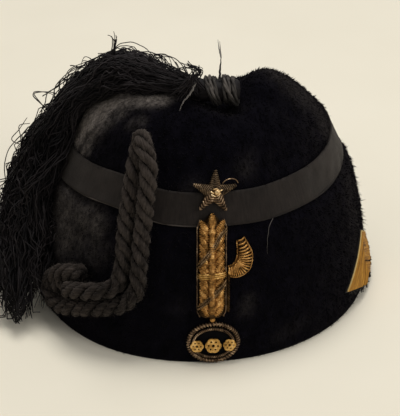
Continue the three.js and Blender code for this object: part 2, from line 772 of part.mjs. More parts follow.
function chevronGeometries() {
  const { laceDepth, stripeGap, stripeDepth, backingMargin, backingThickness, laceThickness } = CHEVRON;
  const stripeTop = laceDepth + stripeGap;
  const stripeBottom = stripeTop + stripeDepth;
  const laceLift = 2 * SEAT_GAP + backingThickness;
  const onBacking = { margin: 0, innerLift: laceLift, thickness: laceThickness };
  return {
    chevron_backing: chevronStrip({
      topDepth: 0,
      bottomDepth: stripeBottom,
      margin: backingMargin,
      innerLift: SEAT_GAP,
      thickness: backingThickness,
    }),
    chevron_lace: chevronStrip({ topDepth: 0, bottomDepth: laceDepth, ...onBacking }),
    chevron_stripe: chevronStrip({ topDepth: stripeTop, bottomDepth: stripeBottom, ...onBacking }),
  };
}

const fez = new THREE.Group();

function addPiece(name, geometry, material) {
  const mesh = new THREE.Mesh(geometry, material);
  mesh.name = name;
  fez.add(mesh);
}

const soft = (color) => new THREE.MeshStandardMaterial({ color, roughness: 0.95, metalness: 0 });
const metal = (color) => new THREE.MeshStandardMaterial({ color, roughness: 0.4, metalness: 1 });
const plush = soft(0x15141b);
const grosgrain = soft(0x35312f);
const cordCotton = soft(0x3d3936);
const blackThread = soft(0x232023);
const gilt = metal(0xb08a4c);
const brass = metal(0xc9a050);
const lace = soft(0xb08a45);

addPiece("crown", crownGeometry(), plush);
addPiece("ribbon", ribbonGeometry(), grosgrain);
addPiece("tassel", tasselGeometry(), blackThread);
addPiece("neck_binding", bindingGeometry(), blackThread);
addPiece("cord", cordGeometry(), cordCotton);
addPiece("badge_star", starGeometry(), gilt);
addPiece("badge_ear", earGeometry(), gilt);
addPiece("badge_leaf", leafGeometry(), gilt);
addPiece("badge_stem", stemGeometry(), gilt);
addPiece("badge_foot", footGeometry(), gilt);
addPiece("medallion_velvet", medallionGeometry(), plush);
addPiece("medallion_rim", rimGeometry(), gilt);
for (const rosette of ROSETTES) fez.add(rosetteMesh(rosette, brass));
const chevron = chevronGeometries();
addPiece("chevron_backing", chevron.chevron_backing, plush);
addPiece("chevron_lace", chevron.chevron_lace, lace);
addPiece("chevron_stripe", chevron.chevron_stripe, lace);

// The part's origin is the middle of its footprint, on the table.
const extent = new THREE.Box3().setFromObject(fez);
const middle = extent.getCenter(new THREE.Vector3());
fez.position.set(-middle.x, -middle.y, -extent.min.z);

export default fez;
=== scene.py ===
"""Looks of a black plush fez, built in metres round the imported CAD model.

The crown's surface is worked out from the same named sizes as the CAD model, in millimetres, in the
crown's own frame: +Z up, the front towards -Y, azimuth 0 at +X and 90 at +Y.
"""

import math

import bpy
import numpy as np
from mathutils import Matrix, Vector


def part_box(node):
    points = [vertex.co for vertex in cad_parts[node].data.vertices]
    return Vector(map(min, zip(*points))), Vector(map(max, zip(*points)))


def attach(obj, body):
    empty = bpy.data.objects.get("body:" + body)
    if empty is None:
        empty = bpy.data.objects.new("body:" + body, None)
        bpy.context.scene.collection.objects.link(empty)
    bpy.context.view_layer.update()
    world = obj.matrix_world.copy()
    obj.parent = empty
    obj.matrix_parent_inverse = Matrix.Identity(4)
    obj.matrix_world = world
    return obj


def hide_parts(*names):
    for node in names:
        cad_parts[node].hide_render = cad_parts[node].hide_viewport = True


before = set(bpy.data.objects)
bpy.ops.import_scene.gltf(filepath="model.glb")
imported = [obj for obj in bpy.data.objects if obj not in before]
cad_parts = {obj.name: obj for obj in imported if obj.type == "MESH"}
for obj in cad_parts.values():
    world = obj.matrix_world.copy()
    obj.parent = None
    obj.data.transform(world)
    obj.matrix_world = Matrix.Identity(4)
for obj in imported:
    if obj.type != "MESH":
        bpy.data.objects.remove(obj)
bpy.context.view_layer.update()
MM = 0.001

# ---------------------------------------------------------------- sizes shared with the CAD model
# half_x, front_y, back_y, widest_y, front_z, side_z, back_z, from the rim up to the gather
SECTIONS = np.array([
    [88, -98, 86, 0, 0, 0, 0],
    [87.4, -97, 86, 0, 14, 14, 13],
    [84, -93, 83, 0, 36, 36, 31],
    [77.8, -87, 76, 0, 57, 58, 49],
    [72, -81.8, 70, 0, 66.5, 67, 57],
    [65.2, -76, 65, 0, 83, 83, 70],
    [59, -67, 53, -3, 99.5, 96, 80],
    [49, -58, 41, -6, 109.5, 105, 87],
    [38, -48, 26, -11, 115, 111, 94],
    [22, -37, 0, -17, 116, 112.5, 104],
    [0, -22, -22, -22, 112, 112, 112],
], float)
# x, y, spread, lift
TOP_FORMS = [
    (31, -19, 16, 8.5), (-34, -14, 18, -1.5), (12, -36, 13, -9.5), (5, 2, 20, -11), (60, 10, 12, -6.5),
]
TOP_FORMS_FROM, TOP_FORMS_RISE = 80, 25
# azimuth, z, spread in degrees, spread in z, push
WALL_FORMS = [(-122, 4, 22, 26, 1.8), (-138, 48, 12, 16, -1.2), (-4, 18, 28, 26, -1.6)]
SEAT_GAP = 0.35
FELT = 3.0
RIBBON_EDGE = (66.6, 66.0, 55.0)
RIBBON_HEIGHT = 15.6
# azimuth, spread in degrees, rise
RIBBON_FORMS = [(-125, 13, 2.5), (-162, 12, -1.5)]
RIBBON_THICKNESS = 1.0
NECK_Y = -37.0
NECK_Z = 118.0
NECK_RADIUS = 5.4
CHEVRON_PEAK_TURN, CHEVRON_FOOT_TURN, CHEVRON_HEEL_TURN = -13.5, 19.5, 7
CHEVRON_PEAK_Z, CHEVRON_FOOT_Z, CHEVRON_HEEL_Z = 30.8, 12.6, 5.2
CHEVRON_FALL = (CHEVRON_PEAK_Z - CHEVRON_FOOT_Z) / CHEVRON_FOOT_TURN
CHEVRON_RISE = (CHEVRON_FOOT_Z - CHEVRON_HEEL_Z) / (CHEVRON_FOOT_TURN - CHEVRON_HEEL_TURN)
STAR_X, STAR_Z, STAR_R, STAR_r, STAR_TILT = 6.2, 82.4, 10.3, 4.3, -4
MEDALLION_X, MEDALLION_Z, MEDALLION_W, MEDALLION_H = 5.9, 11.2, 11.3, 8.3

crown_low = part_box("crown")[0]
neck_low, neck_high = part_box("neck_binding")
# From the crown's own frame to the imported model's
SHIFT = np.array([
    crown_low.x / MM + SECTIONS[0, 0],
    (neck_low.y + neck_high.y) / 2 / MM - NECK_Y,
    0.0,
])


# ---------------------------------------------------------------- small sums
def smoothstep(x):
    s = np.clip(x, 0, 1)
    return s * s * (3 - 2 * s)


def bell(x):
    return np.exp(-x * x)


def unit(v):
    return v / np.maximum(np.linalg.norm(v, axis=-1, keepdims=True), 1e-9)


def off_turn(azimuth, centre):
    """Degrees from centre round to azimuth, from -180 to 180."""
    return (azimuth - centre + 180) % 360 - 180


def waves(points, size, seed):
    """A smooth lumpy field of about -1 to 1 over points, with lumps of about that size."""
    count = 16
    r = np.random.default_rng(seed)
    directions = unit(r.normal(size=(count, 3)))
    directions = directions * (2 * np.pi / size * r.uniform(0.6, 1.5, count))[:, None]
    lumps = np.sin(points @ directions.T + r.uniform(0, 6.28, count)).sum(-1)
    return lumps / math.sqrt(count / 2) / 1.6


# ---------------------------------------------------------------- the crown's surface
TURN_STEP, SHARE_STEP = 0.05, 1e-3
FRONT = -90.0
WALL_RADIUS = 80


def around_height(front_z, side_z, back_z, azimuth):
    """A height that goes smoothly round the crown from front to sides to back."""
    s = np.sin(np.radians(azimuth))
    return side_z + (np.where(s < 0, front_z, back_z) - side_z) * s * s


def section_point(index, azimuth):
    """A point of a section's outline, which is half an oval in front and half an oval behind."""
    half_x, front_y, back_y, widest_y, *heights = np.moveaxis(SECTIONS[index], -1, 0)
    c, s = np.cos(np.radians(azimuth)), np.sin(np.radians(azimuth))
    reach = np.where(s < 0, widest_y - front_y, back_y - widest_y)
    return np.stack([half_x * c, widest_y + reach * s, around_height(*heights, azimuth)], -1)


def crown_point(azimuth, t):
    """The felt's outside, at a share t of the way up from the rim."""
    azimuth, t = np.broadcast_arrays(np.asarray(azimuth, float), np.asarray(t, float))
    last = len(SECTIONS) - 1
    u = np.clip(t, 0, 1) * last
    i = np.minimum(np.floor(u).astype(int), last - 1)
    w = (u - i)[..., None]
    p1, p2 = section_point(i, azimuth), section_point(i + 1, azimuth)
    before = section_point(np.maximum(i - 1, 0), azimuth)
    after = section_point(np.minimum(i + 2, last), azimuth)
    p0 = np.where((i > 0)[..., None], before, 2 * p1 - p2)
    p3 = np.where((i < last - 1)[..., None], after, 2 * p2 - p1)
    v0, v1 = (p2 - p0) / 2, (p3 - p1) / 2
    p = (2 * p1 - 2 * p2 + v0 + v1) * w**3 + (3 * p2 - 3 * p1 - 2 * v0 - v1) * w**2 + v0 * w + p1
    high = smoothstep((p[..., 2] - TOP_FORMS_FROM) / TOP_FORMS_RISE)
    for x, y, spread, lift in TOP_FORMS:
        away = ((p[..., 0] - x) ** 2 + (p[..., 1] - y) ** 2) / spread**2
        p[..., 2] += lift * high * np.exp(-away)
    for centre, z, turn_spread, rise_spread, push in WALL_FORMS:
        turn = off_turn(azimuth, centre) / turn_spread
        rise = (p[..., 2] - z) / rise_spread
        out = push * np.exp(-turn * turn - rise * rise)
        p[..., 0] += out * np.cos(np.radians(azimuth))
        p[..., 1] += out * np.sin(np.radians(azimuth))
    return p


def crown_axes(azimuth, t):
    """The surface's own directions: around, up and out."""
    around = crown_point(azimuth + TURN_STEP, t) - crown_point(azimuth - TURN_STEP, t)
    above = crown_point(azimuth, np.minimum(1, t + SHARE_STEP))
    up = above - crown_point(azimuth, np.maximum(0, t - SHARE_STEP))
    return unit(around), unit(up), unit(np.cross(around, up))


def wall_share(azimuth, z):
    """The share t at which the wall reaches height z, by halving."""
    azimuth, z = np.broadcast_arrays(np.asarray(azimuth, float), np.asarray(z, float))
    low, high = np.zeros(z.shape), np.full(z.shape, 0.8)
    for _ in range(20):
        middle = (low + high) / 2
        below = crown_point(azimuth, middle)[..., 2] < z
        low, high = np.where(below, middle, low), np.where(below, high, middle)
    return low


def wall_point(azimuth, z, lift=0.0):
    """A point that stands off the wall by lift, where the wall is at height z."""
    t = wall_share(azimuth, z)
    return crown_point(azimuth, t) + crown_axes(azimuth, t)[2] * np.asarray(lift, float)[..., None]


def front_azimuth(x, z):
    """The azimuth at x and z on the front of the wall, stepped to on a circle of about its size."""
    x, z = np.broadcast_arrays(np.asarray(x, float), np.asarray(z, float))
    azimuth = np.full(x.shape, FRONT)
    for _ in range(5):
        miss = x - wall_point(azimuth, z)[..., 0]
        azimuth = azimuth + np.degrees(miss / (WALL_RADIUS * np.sin(np.radians(-azimuth))))
    return azimuth


def front_point(x, z, lift):
    return wall_point(front_azimuth(x, z), z, lift)


def front_normal(x, z):
    azimuth = front_azimuth(x, z)
    return crown_axes(azimuth, wall_share(azimuth, z))[2]


def front_seat(x, z):
    """A function that lays out (u, v, lift) about a point of the front, with v along the sloping wall."""
    normal = front_normal(x, z)
    up_share = math.hypot(normal[0], normal[1])
    return lambda u, v, lift: front_point(x + u, z + np.asarray(v) * up_share, lift)


def badge_lift(z):
    """How far the badge's seat stands off the felt, as it steps out over the ribbon."""
    over = smoothstep((np.asarray(z, float) - (RIBBON_EDGE[0] - 6)) / 4)
    return SEAT_GAP + over * (RIBBON_THICKNESS + SEAT_GAP)


# ---------------------------------------------------------------- paths
# Directions that tubes' sections are set out from. None of them runs along its own tubes.
ROPE_UP, STRAND_UP, BADGE_UP = (0.31, 0.17, 0.93), (0.2, 0.9, 0.35), (0, -1, 0.1)


def circle(count, start=0.0):
    """Angles evenly round a circle, the first one start steps on."""
    return (np.arange(count) + start) / count * 2 * np.pi


def circled(phase, side, over, squash=1.0):
    """Directions at a phase round an axis, out of its two side directions."""
    return np.cos(phase)[..., None] * side + squash * np.sin(phase)[..., None] * over


def ripple(r, s, low, high):
    """A sine along s, with a random pace from low to high."""
    return np.sin(s * r.uniform(low, high) + r.uniform(0, 6))


def walked(paths):
    """The length walked at each point of polylines of shape (..., steps, 3)."""
    steps = np.linalg.norm(np.diff(paths, axis=-2), axis=-1)
    return np.concatenate([np.zeros((*steps.shape[:-1], 1)), np.cumsum(steps, -1)], -1)


def picked(path, places, at):
    """The points of a polyline where places, which grow along it, reach at."""
    return np.stack([np.interp(at, places, path[:, k]) for k in range(3)], -1)


def resample(path, step):
    """Points at even steps along a polyline."""
    length = walked(path)
    count = max(3, int(round(length[-1] / step)) + 1)
    return picked(path, length, np.linspace(0, length[-1], count))


def catmull(points, per_span, power=0.5):
    """A Catmull-Rom curve through points. power 0 is uniform and 0.5 centripetal."""
    p = np.asarray(points, float)
    p = np.concatenate([[2 * p[0] - p[1]], p, [2 * p[-1] - p[-2]]])
    out = []
    for a, b, c, d in zip(p, p[1:], p[2:], p[3:]):
        t1, t2, t3 = np.cumsum([max(np.linalg.norm(v), 1e-6) ** power for v in (b - a, c - b, d - c)])
        t = np.linspace(t1, t2, per_span, endpoint=False)[:, None]
        a1 = (t1 - t) / t1 * a + t / t1 * b
        a2 = (t2 - t) / (t2 - t1) * b + (t - t1) / (t2 - t1) * c
        a3 = (t3 - t) / (t3 - t2) * c + (t - t2) / (t3 - t2) * d
        b1 = (t2 - t) / t2 * a1 + t / t2 * a2
        b2 = (t3 - t) / (t3 - t1) * a2 + (t - t1) / (t3 - t1) * a3
        out.append((t2 - t) / (t2 - t1) * b1 + (t - t1) / (t2 - t1) * b2)
    return np.concatenate(out + [p[-2:-1]])


def side_frames(path):
    """A pair of side directions that turn as little as they can along a path."""
    tangent = unit(np.gradient(path, axis=0))
    side = np.zeros_like(path)
    side[0] = unit(np.cross(tangent[0], (0.3, 0.5, 0.8)))
    for i in range(1, len(path)):
        side[i] = unit(side[i - 1] - tangent[i] * np.dot(side[i - 1], tangent[i]))
    return side, np.cross(tangent, side)


# ---------------------------------------------------------------- meshes
def make_mesh(name, points, quads=(), triangles=(), uv=None, fields=None, smooth=True):
    """A mesh object from points in crown millimetres. uv and the fields are given for each point."""
    quads = np.asarray(quads, int).reshape(-1, 4)
    triangles = np.asarray(triangles, int).reshape(-1, 3)
    corners = np.concatenate([quads.ravel(), triangles.ravel()]).astype(np.int32)
    totals = np.concatenate([np.full(len(quads), 4), np.full(len(triangles), 3)])
    starts = np.concatenate([[0], np.cumsum(totals)[:-1]]).astype(np.int32)
    mesh = bpy.data.meshes.new(name)
    mesh.vertices.add(len(points))
    mesh.vertices.foreach_set("co", ((points + SHIFT) * MM).astype(np.float32).ravel())
    mesh.loops.add(len(corners))
    mesh.loops.foreach_set("vertex_index", corners)
    mesh.polygons.add(len(totals))
    mesh.polygons.foreach_set("loop_start", starts)
    mesh.update(calc_edges=True)
    if uv is not None:
        layer = mesh.uv_layers.new(name="UVMap")
        layer.data.foreach_set("uv", np.asarray(uv, np.float32)[corners].ravel())
    for field, values in (fields or {}).items():
        attribute = mesh.attributes.new(field, "FLOAT", "POINT")
        attribute.data.foreach_set("value", values.astype(np.float32))
    if smooth:
        mesh.shade_smooth()
    obj = bpy.data.objects.new(name, mesh)
    bpy.context.scene.collection.objects.link(obj)
    return obj


def piece(name, part, material, slot, *replaced, **fields):
    """A visible piece from (points, quads, triangles, uv), which may stand for CAD nodes."""
    obj = make_mesh(name, *part, fields=fields)
    obj.data.materials.append(material)
    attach(obj, "root")
    if replaced:
        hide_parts(*replaced)
    return obj


def grid_quads(rows, columns, wrap=False):
    """Quads over a grid of points, row after row. wrap joins the last column to the first."""
    reach = columns if wrap else columns - 1
    r, c = np.meshgrid(np.arange(rows - 1) * columns, np.arange(reach), indexing="ij")
    d = (c + 1) % columns
    return np.stack([r + c, r + d, r + columns + d, r + columns + c], -1).reshape(-1, 4)


def tube_faces(rings, sides, flip=False):
    """Quads and end triangles of a tube, ring after ring. flip is for rings that go the other way."""
    way = -1 if flip else 1
    fan = np.stack([np.zeros(sides - 2, int), np.arange(1, sides - 1), np.arange(2, sides)], -1)
    caps = np.concatenate([fan[:, ::-way], fan[:, ::way] + (rings - 1) * sides])
    return grid_quads(rings, sides, wrap=True)[:, ::way], caps


def repeated(faces, count, points_each):
    """The same faces for each of count equal parts."""
    start = np.arange(count)[:, None, None] * points_each
    return (faces[None] + start).reshape(-1, faces.shape[1])


def sweep(paths, radii, sides, up=(0, 0, 1)):
    """Closed tubes round paths of shape (count, steps, 3). Returns points, quads, triangles, uv."""
    paths = np.asarray(paths, float)
    count, steps = paths.shape[:2]
    radii = np.broadcast_to(np.asarray(radii, float), (count, steps))
    tangent = unit(np.gradient(paths, axis=1))
    side = unit(np.cross(np.broadcast_to(np.asarray(up, float), paths.shape), tangent))
    over = np.cross(tangent, side)
    turn = circle(sides, 0.5)
    ring = circled(turn, side[:, :, None], over[:, :, None])
    points = (paths[:, :, None] + radii[..., None, None] * ring).reshape(-1, 3)
    quads, caps = (repeated(tube, count, steps * sides) for tube in tube_faces(steps, sides))
    places = np.broadcast_arrays(turn / (2 * np.pi), walked(paths)[..., None])
    return points, quads, caps, np.stack(places, -1).reshape(-1, 2)


def twisted(path, reach, radius, pitch, sides=5):
    """Two plies twisted round a path."""
    side, over = side_frames(path)
    s = walked(path)
    phases = [-2 * np.pi * s / pitch + ply * np.pi for ply in range(2)]
    paths = [path + reach * circled(phase, side, over) for phase in phases]
    return sweep(np.array(paths), radius, sides, up=ROPE_UP)


def band(outer, inner, v, edge_row):
    """A closed strip with its length as U, from the points of its outer and inner faces, column by column."""
    columns, rows = outer.shape[:2]
    ring = np.concatenate([outer, inner[:, ::-1]], 1)
    width = 2 * rows
    i = np.arange(rows - 1)
    end = np.stack([i, i + 1, width - 2 - i, width - 1 - i], -1)
    quads = [grid_quads(columns, width, wrap=True)[:, ::-1], end, end[:, ::-1] + (columns - 1) * width]
    uv = np.stack(np.broadcast_arrays(walked(outer[:, edge_row])[:, None], v), -1).reshape(-1, 2)
    return ring.reshape(-1, 3), np.concatenate(quads), [], uv


def joined(parts):
    """Several (points, quads, triangles, uv) as one."""
    points, quads, triangles, uv, base = [], [], [], [], 0
    for p, q, t, u in parts:
        points.append(p)
        quads.append(np.asarray(q, int).reshape(-1, 4) + base)
        triangles.append(np.asarray(t, int).reshape(-1, 3) + base)
        uv.append(u)
        base += len(p)
    return tuple(np.concatenate(a) for a in (points, quads, triangles, uv))


# ---------------------------------------------------------------- materials
def grey(value):
    return (value, value, value)


class Shader:
    """A principled material, with short names for the nodes that it is made of."""

    def __init__(self, name, roughness, metallic=0.0, specular=0.5, sheen=0.0,
                 sheen_tint=(1, 1, 1), sheen_roughness=0.5):
        self.material = bpy.data.materials.new(name)
        self.material.use_nodes = True
        self.tree = self.material.node_tree
        self.inputs = self.tree.nodes["Principled BSDF"].inputs
        for socket, value in (
            ("Roughness", roughness), ("Metallic", metallic), ("Specular IOR Level", specular),
            ("Sheen Weight", sheen), ("Sheen Tint", (*sheen_tint, 1)), ("Sheen Roughness", sheen_roughness),
        ):
            self.inputs[socket].default_value = value
        coordinates = self.add("ShaderNodeTexCoord").outputs
        self.where, self.uv = coordinates["Object"], coordinates["UV"]

    def add(self, kind, sockets=(), **settings):
        """A node. Each of its sockets named is linked to another node's output, or set to a value."""
        node = self.tree.nodes.new(kind)
        for key, value in settings.items():
            setattr(node, key, value)
        for key, value in dict(sockets).items():
            if isinstance(value, bpy.types.NodeSocket):
                self.tree.links.new(value, node.inputs[key])
            else:
                node.inputs[key].default_value = value
        return node

    def field(self, name):
        return self.add("ShaderNodeAttribute", attribute_name=name).outputs["Fac"]

    def mapped(self, source, scale):
        return self.add("ShaderNodeMapping", {"Vector": source, "Scale": scale}).outputs["Vector"]

    def noise(self, source, scale, detail, roughness=0.6):
        sockets = {"Vector": source, "Scale": scale, "Detail": detail, "Roughness": roughness}
        return self.add("ShaderNodeTexNoise", sockets).outputs["Fac"]

    def ramp(self, source, *stops):
        """stops are (place, colour) pairs."""
        node = self.add("ShaderNodeValToRGB", {"Fac": source})
        elements = node.color_ramp.elements
        while len(elements) < len(stops):
            elements.new(0.5)
        for element, (place, colour) in zip(elements, stops):
            element.position = place
            element.color = (*colour, 1)
        return node.outputs["Color"]

    def math(self, operation, a, b):
        return self.add("ShaderNodeMath", {0: a, 1: b}, operation=operation).outputs["Value"]

    def mix(self, factor, a, b, blend="MIX"):
        sockets = {0: factor, 6: a, 7: b}
        return self.add("ShaderNodeMix", sockets, data_type="RGBA", blend_type=blend).outputs[2]

    def bump(self, height, strength, distance, normal=None):
        sockets = {"Height": height, "Strength": strength, "Distance": distance}
        if normal is not None:
            sockets["Normal"] = normal
        return self.add("ShaderNodeBump", sockets).outputs["Normal"]

    def finish(self, colour, normal=None, roughness=None):
        for socket, source in (("Base Color", colour), ("Roughness", roughness), ("Normal", normal)):
            if source is not None:
                self.tree.links.new(source, self.inputs[socket])
        return self.material


def plush_material():
    """Black pile, grey where the "worn" field says, from wear and dust and from painted sheen, in streaks as
    fine as the pile.
    """
    n = Shader("black_plush", roughness=0.95, specular=0.04, sheen=0.02,
               sheen_tint=(1.0, 0.85, 0.75), sheen_roughness=0.45)
    streaks = n.noise(n.mapped(n.where, (1.0, 1.0, 0.45)), 700, 4, 0.65)
    dust = n.ramp(n.noise(n.where, 190, 5, 0.65), (0.3, grey(0.45)), (0.6, grey(1)))
    black = n.ramp(n.noise(n.where, 160, 5),
                   (0.3, (0.0007, 0.0006, 0.0018)), (0.75, (0.0031, 0.0027, 0.0052)))
    # This grey serves both wear and dust and the painted sheen in the "worn" field.
    worn = n.ramp(streaks, (0.32, (0.110, 0.097, 0.088)), (0.68, (0.370, 0.325, 0.290)))
    share = n.math("MULTIPLY", n.field("worn"), dust)
    return n.finish(n.mix(share, black, worn), n.bump(n.noise(n.where, 900, 4, 0.7), 0.7, 0.0006))


def cloth_material(name, dark, light, sheen, specular):
    """Plain fibres: blotchy colour and a fine fuzzy bump."""
    n = Shader(name, roughness=0.9, specular=specular, sheen=sheen, sheen_tint=(1.0, 0.92, 0.84))
    colour = n.ramp(n.noise(n.where, 60, 6, 0.7), (0.3, dark), (0.72, light))
    return n.finish(colour, n.bump(n.noise(n.where, 1100, 3, 0.7), 0.6, 0.0003))


def thread_material(name, dark, light, sheen, roughness, specular, blotch):
    """Twisted thread: its shade varies from strand to strand, and its plies show as a bump."""
    n = Shader(name, roughness=roughness, specular=specular, sheen=sheen, sheen_tint=(1.0, 0.92, 0.85))
    blotches = n.math("MULTIPLY", n.noise(n.where, blotch, 4), 0.5)
    mixed = n.math("ADD", blotches, n.math("MULTIPLY", n.field("shade"), 0.5))
    colour = n.ramp(mixed, (0.2, dark), (0.8, light))
    return n.finish(colour, n.bump(n.noise(n.where, 1500, 2), 0.5, 0.0002))


def ribbon_material():
    """Grosgrain: ribs across the band, with its length in millimetres as U."""
    n = Shader("grosgrain", roughness=0.75, specular=0.12, sheen=0.06, sheen_tint=(1.0, 0.93, 0.85))
    wave = n.add("ShaderNodeTexWave", {"Vector": n.uv, "Scale": 0.62, "Distortion": 0.3},
                 wave_type="BANDS", bands_direction="X")
    ribs = n.ramp(wave.outputs["Color"], (0, grey(0.45)), (1, grey(1.2)))
    base = n.ramp(n.noise(n.where, 45, 6, 0.65),
                  (0.3, (0.0105, 0.0084, 0.0076)), (0.72, (0.0228, 0.0180, 0.0160)))
    worn = n.ramp(n.noise(n.mapped(n.uv, (0.9, 0.12, 1.0)), 1.0, 4, 0.7),
                  (0.32, (0.55, 0.55, 0.56)), (0.68, (1.35, 1.33, 1.3)))
    colour = n.mix(0.8, n.mix(0.55, base, ribs, "MULTIPLY"), worn, "MULTIPLY")
    rib_bump = n.bump(wave.outputs["Fac"], 0.35, 0.0003)
    return n.finish(colour, n.bump(n.noise(n.where, 700, 3), 0.25, 0.0004, rib_bump))


def gilt_material(name, dark, gold, bright, roughness):
    """Gilt wire: tarnish in blotches over a worn, brighter metal."""
    n = Shader(name, roughness=roughness, metallic=1.0)
    tarnish = n.noise(n.where, 330, 5, 0.65)
    colour = n.ramp(tarnish, (0.30, dark), (0.52, gold), (0.74, bright))
    rough = n.ramp(tarnish, (0.3, grey(0.62)), (0.7, grey(roughness)))
    return n.finish(colour, n.bump(n.noise(n.where, 1400, 3), 0.35, 0.0002), rough)


def lace_material():
    """Ochre lace, worn in streaks, with its depth in millimetres as V and its edge, in "edge", pale."""
    n = Shader("gold_lace", roughness=0.7, specular=0.12)
    streaks = n.noise(n.mapped(n.uv, (0.05, 1.1, 1.0)), 0.8, 4, 0.6)
    fine = n.noise(n.mapped(n.uv, (0.3, 2.6, 1.0)), 1.0, 3, 0.6)
    body = n.ramp(streaks, (0.34, (0.105, 0.046, 0.010)), (0.46, (0.33, 0.150, 0.020)),
                  (0.60, (0.48, 0.235, 0.036)), (0.74, (0.54, 0.32, 0.085)))
    body = n.mix(0.5, body, n.ramp(fine, (0.35, grey(0.5)), (0.65, grey(1.15))), "MULTIPLY")
    at_edge = n.math("LESS_THAN", n.field("edge"), 0.55)
    return n.finish(n.mix(at_edge, body, (0.50, 0.36, 0.15, 1)), n.bump(fine, 0.5, 0.0004))


PLUSH = plush_material()
RIBBON = ribbon_material()
LACE = lace_material()
# name, dark, light, sheen, specular
LINING = cloth_material("bare_felt", (0.004, 0.0038, 0.0045), (0.012, 0.011, 0.011), 0.1, 0.2)
BACKING = cloth_material("backing_felt", (0.002, 0.0018, 0.002), (0.006, 0.005, 0.005), 0.1, 0.2)
VELVET = cloth_material("black_velvet", (0.0012, 0.0012, 0.0016), (0.003, 0.003, 0.0036), 0.0, 0.05)
# name, dark, light, sheen, roughness, specular, size of blotches
CORD, SELVEDGE, TASSEL, BINDING, PALE = (thread_material(*row) for row in (
    ("cord_yarn", (0.0028, 0.0023, 0.0022), (0.044, 0.0355, 0.0310), 0.05, 0.95, 0.05, 240),
    ("ribbon_edge", (0.010, 0.0085, 0.0078), (0.062, 0.052, 0.046), 0.05, 0.8, 0.1, 120),
    ("tassel_thread", (0.0016, 0.0013, 0.0018), (0.0225, 0.0185, 0.0195), 0.0, 0.55, 0.13, 120),
    ("binding_thread", (0.0018, 0.0016, 0.0017), (0.098, 0.086, 0.077), 0.04, 0.6, 0.2, 120),
    ("grey_thread", (0.04, 0.035, 0.031), (0.15, 0.135, 0.122), 0.2, 0.6, 0.4, 120),
))
# name, dark, gold, bright, roughness
GILTS = [gilt_material(*row) for row in (
    ("gilt_wire", (0.055, 0.027, 0.008), (0.46, 0.235, 0.068), (0.98, 0.64, 0.25), 0.34),
    ("gilt_padding", (0.012, 0.008, 0.005), (0.055, 0.030, 0.012), (0.15, 0.080, 0.028), 0.5),
    ("tarnished_gilt", (0.020, 0.014, 0.010), (0.21, 0.135, 0.080), (0.72, 0.53, 0.34), 0.4),
    ("worn_gilt", (0.030, 0.018, 0.010), (0.22, 0.135, 0.065), (0.66, 0.46, 0.26), 0.36),
    ("blackened_gilt", (0.014, 0.010, 0.008), (0.145, 0.100, 0.062), (0.55, 0.40, 0.25), 0.45),
    # The next material is the dark line of painted shadow beside the ear's lashings.
    ("painted_shadow_gilt", (0.006, 0.004, 0.003), (0.016, 0.010, 0.006), (0.035, 0.022, 0.012), 0.7),
    ("bright_gilt", (0.30, 0.19, 0.09), (0.78, 0.55, 0.28), (1.0, 0.84, 0.55), 0.26),
    ("brass", (0.15, 0.078, 0.020), (0.50, 0.285, 0.080), (0.90, 0.62, 0.27), 0.24),
)]
GILT, GILT_DARK, GILT_OLD, GILT_WORN, GILT_DULL, GILT_SHADE, GILT_BRIGHT, BRASS = GILTS


# ---------------------------------------------------------------- crown and nap
def ribbon_low(azimuth):
    """The height of the ribbon's lower edge."""
    z = around_height(*RIBBON_EDGE, azimuth)
    for centre, spread, rise in RIBBON_FORMS:
        z = z + rise * bell(off_turn(azimuth, centre) / spread)
    return z


# Worn and dusty places, and places of painted sheen, as lines across the felt: points in crown millimetres,
# half width, how strong.
WEAR_AND_SHEEN = [
    ([(-70, -16, 70), (-65, -19, 81), (-60, -23, 91), (-54, -25, 99)], 8.0, 1.0),
    ([(-54, -25, 99), (-45, -24, 106), (-35, -27, 111)], 9.5, 1.0),
    ([(-36, -28, 111), (-28, -33, 113), (-20, -37, 114)], 7.0, 0.85),
    ([(-57, -34, 92), (-50, -35, 100), (-41, -36, 108)], 7.0, 0.22),
    ([(-33, -48, 105), (-29, -49, 107)], 4.0, 0.07),
    ([(-55, -37, 86), (-58, -35, 84)], 3.5, 0.35),
    ([(-71, -42, 56), (-68, -48, 44)], 14.0, 0.20),
    ([(-62, -52, 58), (-52, -63, 58)], 9.0, 0.16),
    ([(-62, -57, 46), (-52, -67, 46)], 11.0, 0.09),
    ([(-66, -56, 34), (-56, -66, 32)], 7.0, 0.06),
    # The next four lines are painted sheen, where light falls along the right shoulder and right side of the
    # crown.
    ([(38, -18, 117), (50, -18, 106.5)], 9.0, 0.045),
    ([(50, -14, 106.5), (58, -10, 98), (64, -12, 87), (69, -14, 74)], 10.0, 0.05),
    ([(74, -20, 62), (78, -27, 50), (81, -30, 36)], 9.0, 0.015),
    ([(84, -32, 26), (88, -20, 12)], 5.0, 0.09),
    ([(22, -93, 26), (24, -92, 31)], 4.5, 0.045),
    ([(-10, -95, 30), (-12, -95, 26)], 5.0, 0.012),
    # The next three lines are light patches on the upper front, painted sheen together with dust.
    ([(22, -72, 93), (26, -69, 99)], 6.5, 0.055),
    ([(36, -62, 96), (38, -66, 88)], 4.0, 0.045),
    ([(-2, -76, 76), (-3, -74, 82)], 7.0, 0.035),
    ([(55, -81, 12), (40, -90, 8)], 5.0, 0.02),
]


def off_line(points, line):
    """How far points are from a line of joined stretches."""
    away = np.full(points.shape[:-1], np.inf)
    line = np.array(line, float)
    for a, b in zip(line, line[1:]):
        share = np.clip((points - a) @ (b - a) / ((b - a) @ (b - a)), 0, 1)
        away = np.minimum(away, np.linalg.norm(points - a - share[..., None] * (b - a), axis=-1))
    return away


